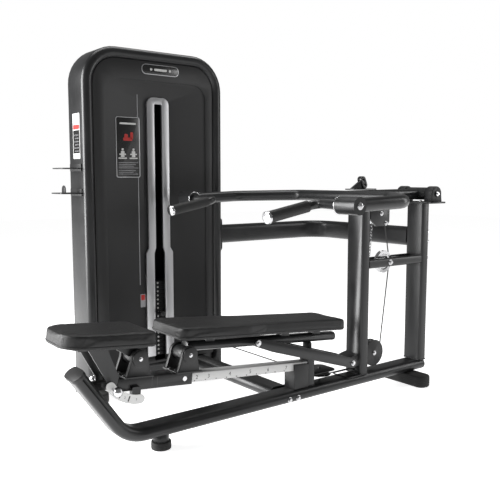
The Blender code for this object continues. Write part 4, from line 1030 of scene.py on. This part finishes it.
# Painted shade: the tilt plate's two slots are thin black sheets on its white face, where the slots open into
# shade.
for index, turn in enumerate((239, 254)):
    ends = [tilt_spot(radius, turn) for radius in (0.133, 0.150)]
    lean = radians(turn)
    slot_edge = [(ends[1][0] + 0.0024 * cos(lean + radians(a)), ends[1][1] + 0.0024 * sin(lean + radians(a)))
                 for a in range(-90, 91, 30)]
    slot_edge += [(ends[0][0] + 0.0024 * cos(lean + radians(a)), ends[0][1] + 0.0024 * sin(lean + radians(a)))
                  for a in range(90, 271, 30)]
    carriage_plate(f"tilt_slot_painted_shade_{index}", slot_edge, -0.0573, -0.0578, sign_black_and_painted_shade, "white_paint")
for text, turn in (("1", 232), ("2", 247), ("3", 266)):
    number(f"tilt_number_{text}", text, *tilt_spot(plate_middle, turn), -0.0575, 0.011, print_grey,
           "carriage", "white_paint")
plate_arm = round_corners((-0.142, -0.036), (-0.108, -0.004), 0.004, 4)
carriage_plate("tilt_plate_arm", plate_arm, -0.0342, -0.0536, charcoal_coat, "frame_paint")
# Painted shade: two grooves round the carriage sleeve are thin black strips laid on its face.
for index, u in enumerate((-0.054, -0.032)):
    groove_edge = round_corners((u - 0.0009, -0.019), (u + 0.0009, 0.0225), 0.0008, 3)
    carriage_plate(f"sleeve_groove_painted_shade_{index}", groove_edge, -0.0338, -0.0342, sign_black_and_painted_shade, "frame_paint")


# Bench frames and strut: the seat's board and legs, the backrest's oval tube, and the two flat bars
# that raise the backrest as the carriage runs back.

for bench_part in ("seat_frame", "back_frame", "strut"):
    dressed(bench_part, charcoal_coat, 0.0010)
strut_pins, strut_face = ((0.415, 0.347), (0.955, 0.175)), 0.0598
strut_spots = [(at(x, side * strut_face, z), (0, side, 0)) for side in (-1, 1) for x, z in strut_pins]
bolts("strut_bolts", strut_spots, "strut", 0.017, 0.0055, 0.0120)


# Adjusting balls: bright turned knobs on the two spring pins that hold the seat's tilt.

def knob(name, cad_node, side):
    """A turned ball with a collar, a neck and its pin."""
    low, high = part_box(cad_node)
    centre_x, centre_z = (low.x + high.x) / 2, (low.z + high.z) / 2
    inner = high.y if side < 0 else low.y
    length = high.y - low.y
    ball_at, ball = length - 0.0175, 0.0175
    profile = [(0.0, 0.0), (0.005, 0.0), (0.005, ball_at - 0.0205),
               (0.0078, ball_at - 0.0200), (0.0078, ball_at - 0.0150)]
    angles = [radians(-62 + 152 * i / 16) for i in range(17)]
    profile += [(max(ball * cos(a), 0.0), ball_at + ball * sin(a)) for a in angles]

    def place(radius, angle, height):
        return centre_x + radius * cos(angle), inner + side * height, centre_z + radius * sin(angle)

    mesh = mesh_from(name, turned(profile, 32, place))
    return fitted(piece_from(name, mesh, bright_chrome), body_of[cad_node], "chrome", cad_node)


knob("tilt_knob_near", "seat_knob_near", -1)
knob("tilt_knob_far", "seat_knob_far", 1)


# Pads: firm foam on a board under black vinyl, flat on top with soft rims. Each is swollen by a cloth
# simulation from a slightly smaller shape, and has a sewn seam round its lower edge.

vinyl, vinyl_tree, vinyl_shader, vinyl_grain = new_finish("upholstery_vinyl", 7.0, 220.0)
vinyl_place = node(vinyl_tree, "ShaderNodeTexCoord").outputs["Object"]
pebbles = node(vinyl_tree, "ShaderNodeTexVoronoi", {"Vector": vinyl_place, "Scale": 620.0},
               feature="DISTANCE_TO_EDGE")
pebble_height = mapped(vinyl_tree, pebbles.outputs["Distance"], (0.0, 0.30), (0.0, 1.0))
vinyl_height = maths(vinyl_tree, "ADD", pebble_height, vinyl_grain["Height"])
vinyl_colour = mixed(vinyl_tree, vinyl_grain["Tone"], (0.0045, 0.0045, 0.0048), (0.0085, 0.0085, 0.0088))
vinyl_dust = grouped(vinyl_tree, settled_dust, {"Amount": 0.035, "Patch Scale": 9.0})["Mask"]
vinyl_colour = mixed(vinyl_tree, vinyl_dust, vinyl_colour, (0.35, 0.34, 0.33))
vinyl_gloss = mapped(vinyl_tree, vinyl_grain["Tone"], (0.0, 1.0), (0.40, 0.58))
coated(vinyl_tree, vinyl_shader, vinyl_colour, vinyl_gloss, vinyl_height.outputs[0], 0.30, 0.0004)
vinyl_shader.inputs["Specular IOR Level"].default_value = 0.45


def pad_outline_of(corners, radius_steps):
    """An outline with each corner (u, y, radius) rounded, anticlockwise."""
    points = []
    count = len(corners)
    for i, (u, y, radius) in enumerate(corners):
        here = Vector((u, y))
        before = (Vector(corners[i - 1][:2]) - here).normalized()
        after = (Vector(corners[(i + 1) % count][:2]) - here).normalized()
        half = before.angle(after) / 2
        tangent = radius / max(1e-6, abs(sin(half) / cos(half)))
        centre = here + (before + after).normalized() * (radius / sin(half))
        start = here + before * tangent - centre
        stop = here + after * tangent - centre
        a0, a1 = atan2(start.y, start.x), atan2(stop.y, stop.x)
        while a1 < a0 - 1e-6 and (before.x * after.y - before.y * after.x) < 0:
            a1 += 2 * pi
        while a1 > a0 + 1e-6 and (before.x * after.y - before.y * after.x) > 0:
            a1 -= 2 * pi
        for k in range(radius_steps + 1):
            a = a0 + (a1 - a0) * k / radius_steps
            points.append((centre.x + radius * cos(a), centre.y + radius * sin(a)))
    return points


def inset(points, distance):
    """An outline drawn in by a distance."""
    result_points = []
    count = len(points)
    for i in range(count):
        before, here, after = (Vector(points[(i + k) % count]) for k in (-1, 0, 1))
        along = (after - before).normalized()
        result_points.append((here.x - along.y * distance, here.y + along.x * distance))
    return result_points


pad_voxel, held_depth, seam_radius = 0.0042, 0.012, 0.0011
foam_pressure, foam_stiffness, foam_steps = 2.2, 60.0, 20


def sewn_pad(name, cad_node, body, outline, low, high, cap, slim):
    """A pad from its outline: shrunk, remeshed, swollen with its underside held, and smoothed."""
    rim = 0.009
    bm = bmesh.new()
    levels = [(low, slim)]
    top = high - slim
    levels += [(top - rim + rim * sin(radians(a)), slim + rim * (1 - cos(radians(a))))
               for a in (0, 18, 36, 54, 72, 88)]
    rings = [[bm.verts.new(on_rail(u, y, w)) for u, y in inset(outline, drawn)] for w, drawn in levels]
    bm.faces.new(rings[0])
    bm.faces.new(rings[-1])
    for under, over in zip(rings, rings[1:]):
        for i in range(len(outline)):
            bm.faces.new((under[i - 1], under[i], over[i], over[i - 1]))
    bmesh.ops.recalc_face_normals(bm, faces=bm.faces)
    bmesh.ops.triangulate(bm, faces=bm.faces)
    pad = piece_from(name, mesh_from(name, bm), vinyl)
    remesh = pad.modifiers.new("voxels", "REMESH")
    remesh.mode = "VOXEL"
    remesh.voxel_size = pad_voxel
    settled(pad)
    smoothing = pad.modifiers.new("ease", "SMOOTH")
    smoothing.iterations = 5
    settled(pad)
    start = [v.co.copy() for v in pad.data.vertices]
    held = pad.vertex_groups.new(name="underside")
    floor_up = Vector(rail_up)
    base_height = on_rail(0, 0, low).dot(floor_up)
    for index, place in enumerate(start):
        height = place.dot(floor_up) - base_height
        held.add([index], 1.0 if height < held_depth else 0.0, "REPLACE")
    cloth = pad.modifiers.new("foam", "CLOTH")
    cloth.settings.vertex_group_mass = "underside"
    cloth.settings.use_pressure = True
    cloth.settings.uniform_pressure_force = foam_pressure
    cloth.settings.quality = 6
    cloth.settings.tension_stiffness = foam_stiffness
    cloth.settings.compression_stiffness = foam_stiffness
    cloth.settings.effector_weights.gravity = 0.0
    cloth.point_cache.frame_start, cloth.point_cache.frame_end = 1, foam_steps
    scene = bpy.context.scene
    for step in range(1, foam_steps + 1):
        scene.frame_set(step)
    settled(pad)
    for vertex, place in zip(pad.data.vertices, start):
        moved = vertex.co - place
        if moved.length > cap:
            vertex.co = place + moved * (cap / moved.length)
    scene.frame_set(1)
    finer = pad.modifiers.new("finer", "SUBSURF")
    finer.levels = finer.render_levels = 1
    settled(pad)
    pad.data.materials.clear()
    pad.data.materials.append(vinyl)
    pad.data.shade_smooth()
    fitted(pad, body, "vinyl", cad_node)
    seam = [on_rail(u, y, low + 0.010) for u, y in inset(outline, slim - seam_radius)]
    bars(f"{name}_seam", [seam], body, "vinyl", seam_radius, 0.004, 0.10, 8, vinyl, closed=True)


seat_corners = [
    (-0.425, -0.122, 0.085), (-0.085, -0.122, 0.030), (-0.085, 0.122, 0.030), (-0.425, 0.122, 0.085),
]
back_corners = [
    (0.007, -0.122, 0.034), (0.318, -0.122, 0.06), (0.402, -0.106, 0.06), (0.852, -0.106, 0.028),
    (0.852, 0.106, 0.028), (0.402, 0.106, 0.06), (0.318, 0.122, 0.06), (0.007, 0.122, 0.034),
]
sewn_pad("seat_cushion", "seat_pad", "seat", pad_outline_of(seat_corners, 8), 0.151, 0.203, 0.0016, 0.0014)
sewn_pad("back_cushion", "back_pad", "backrest", pad_outline_of(back_corners, 8), 0.163, 0.210, 0.0016, 0.0014)
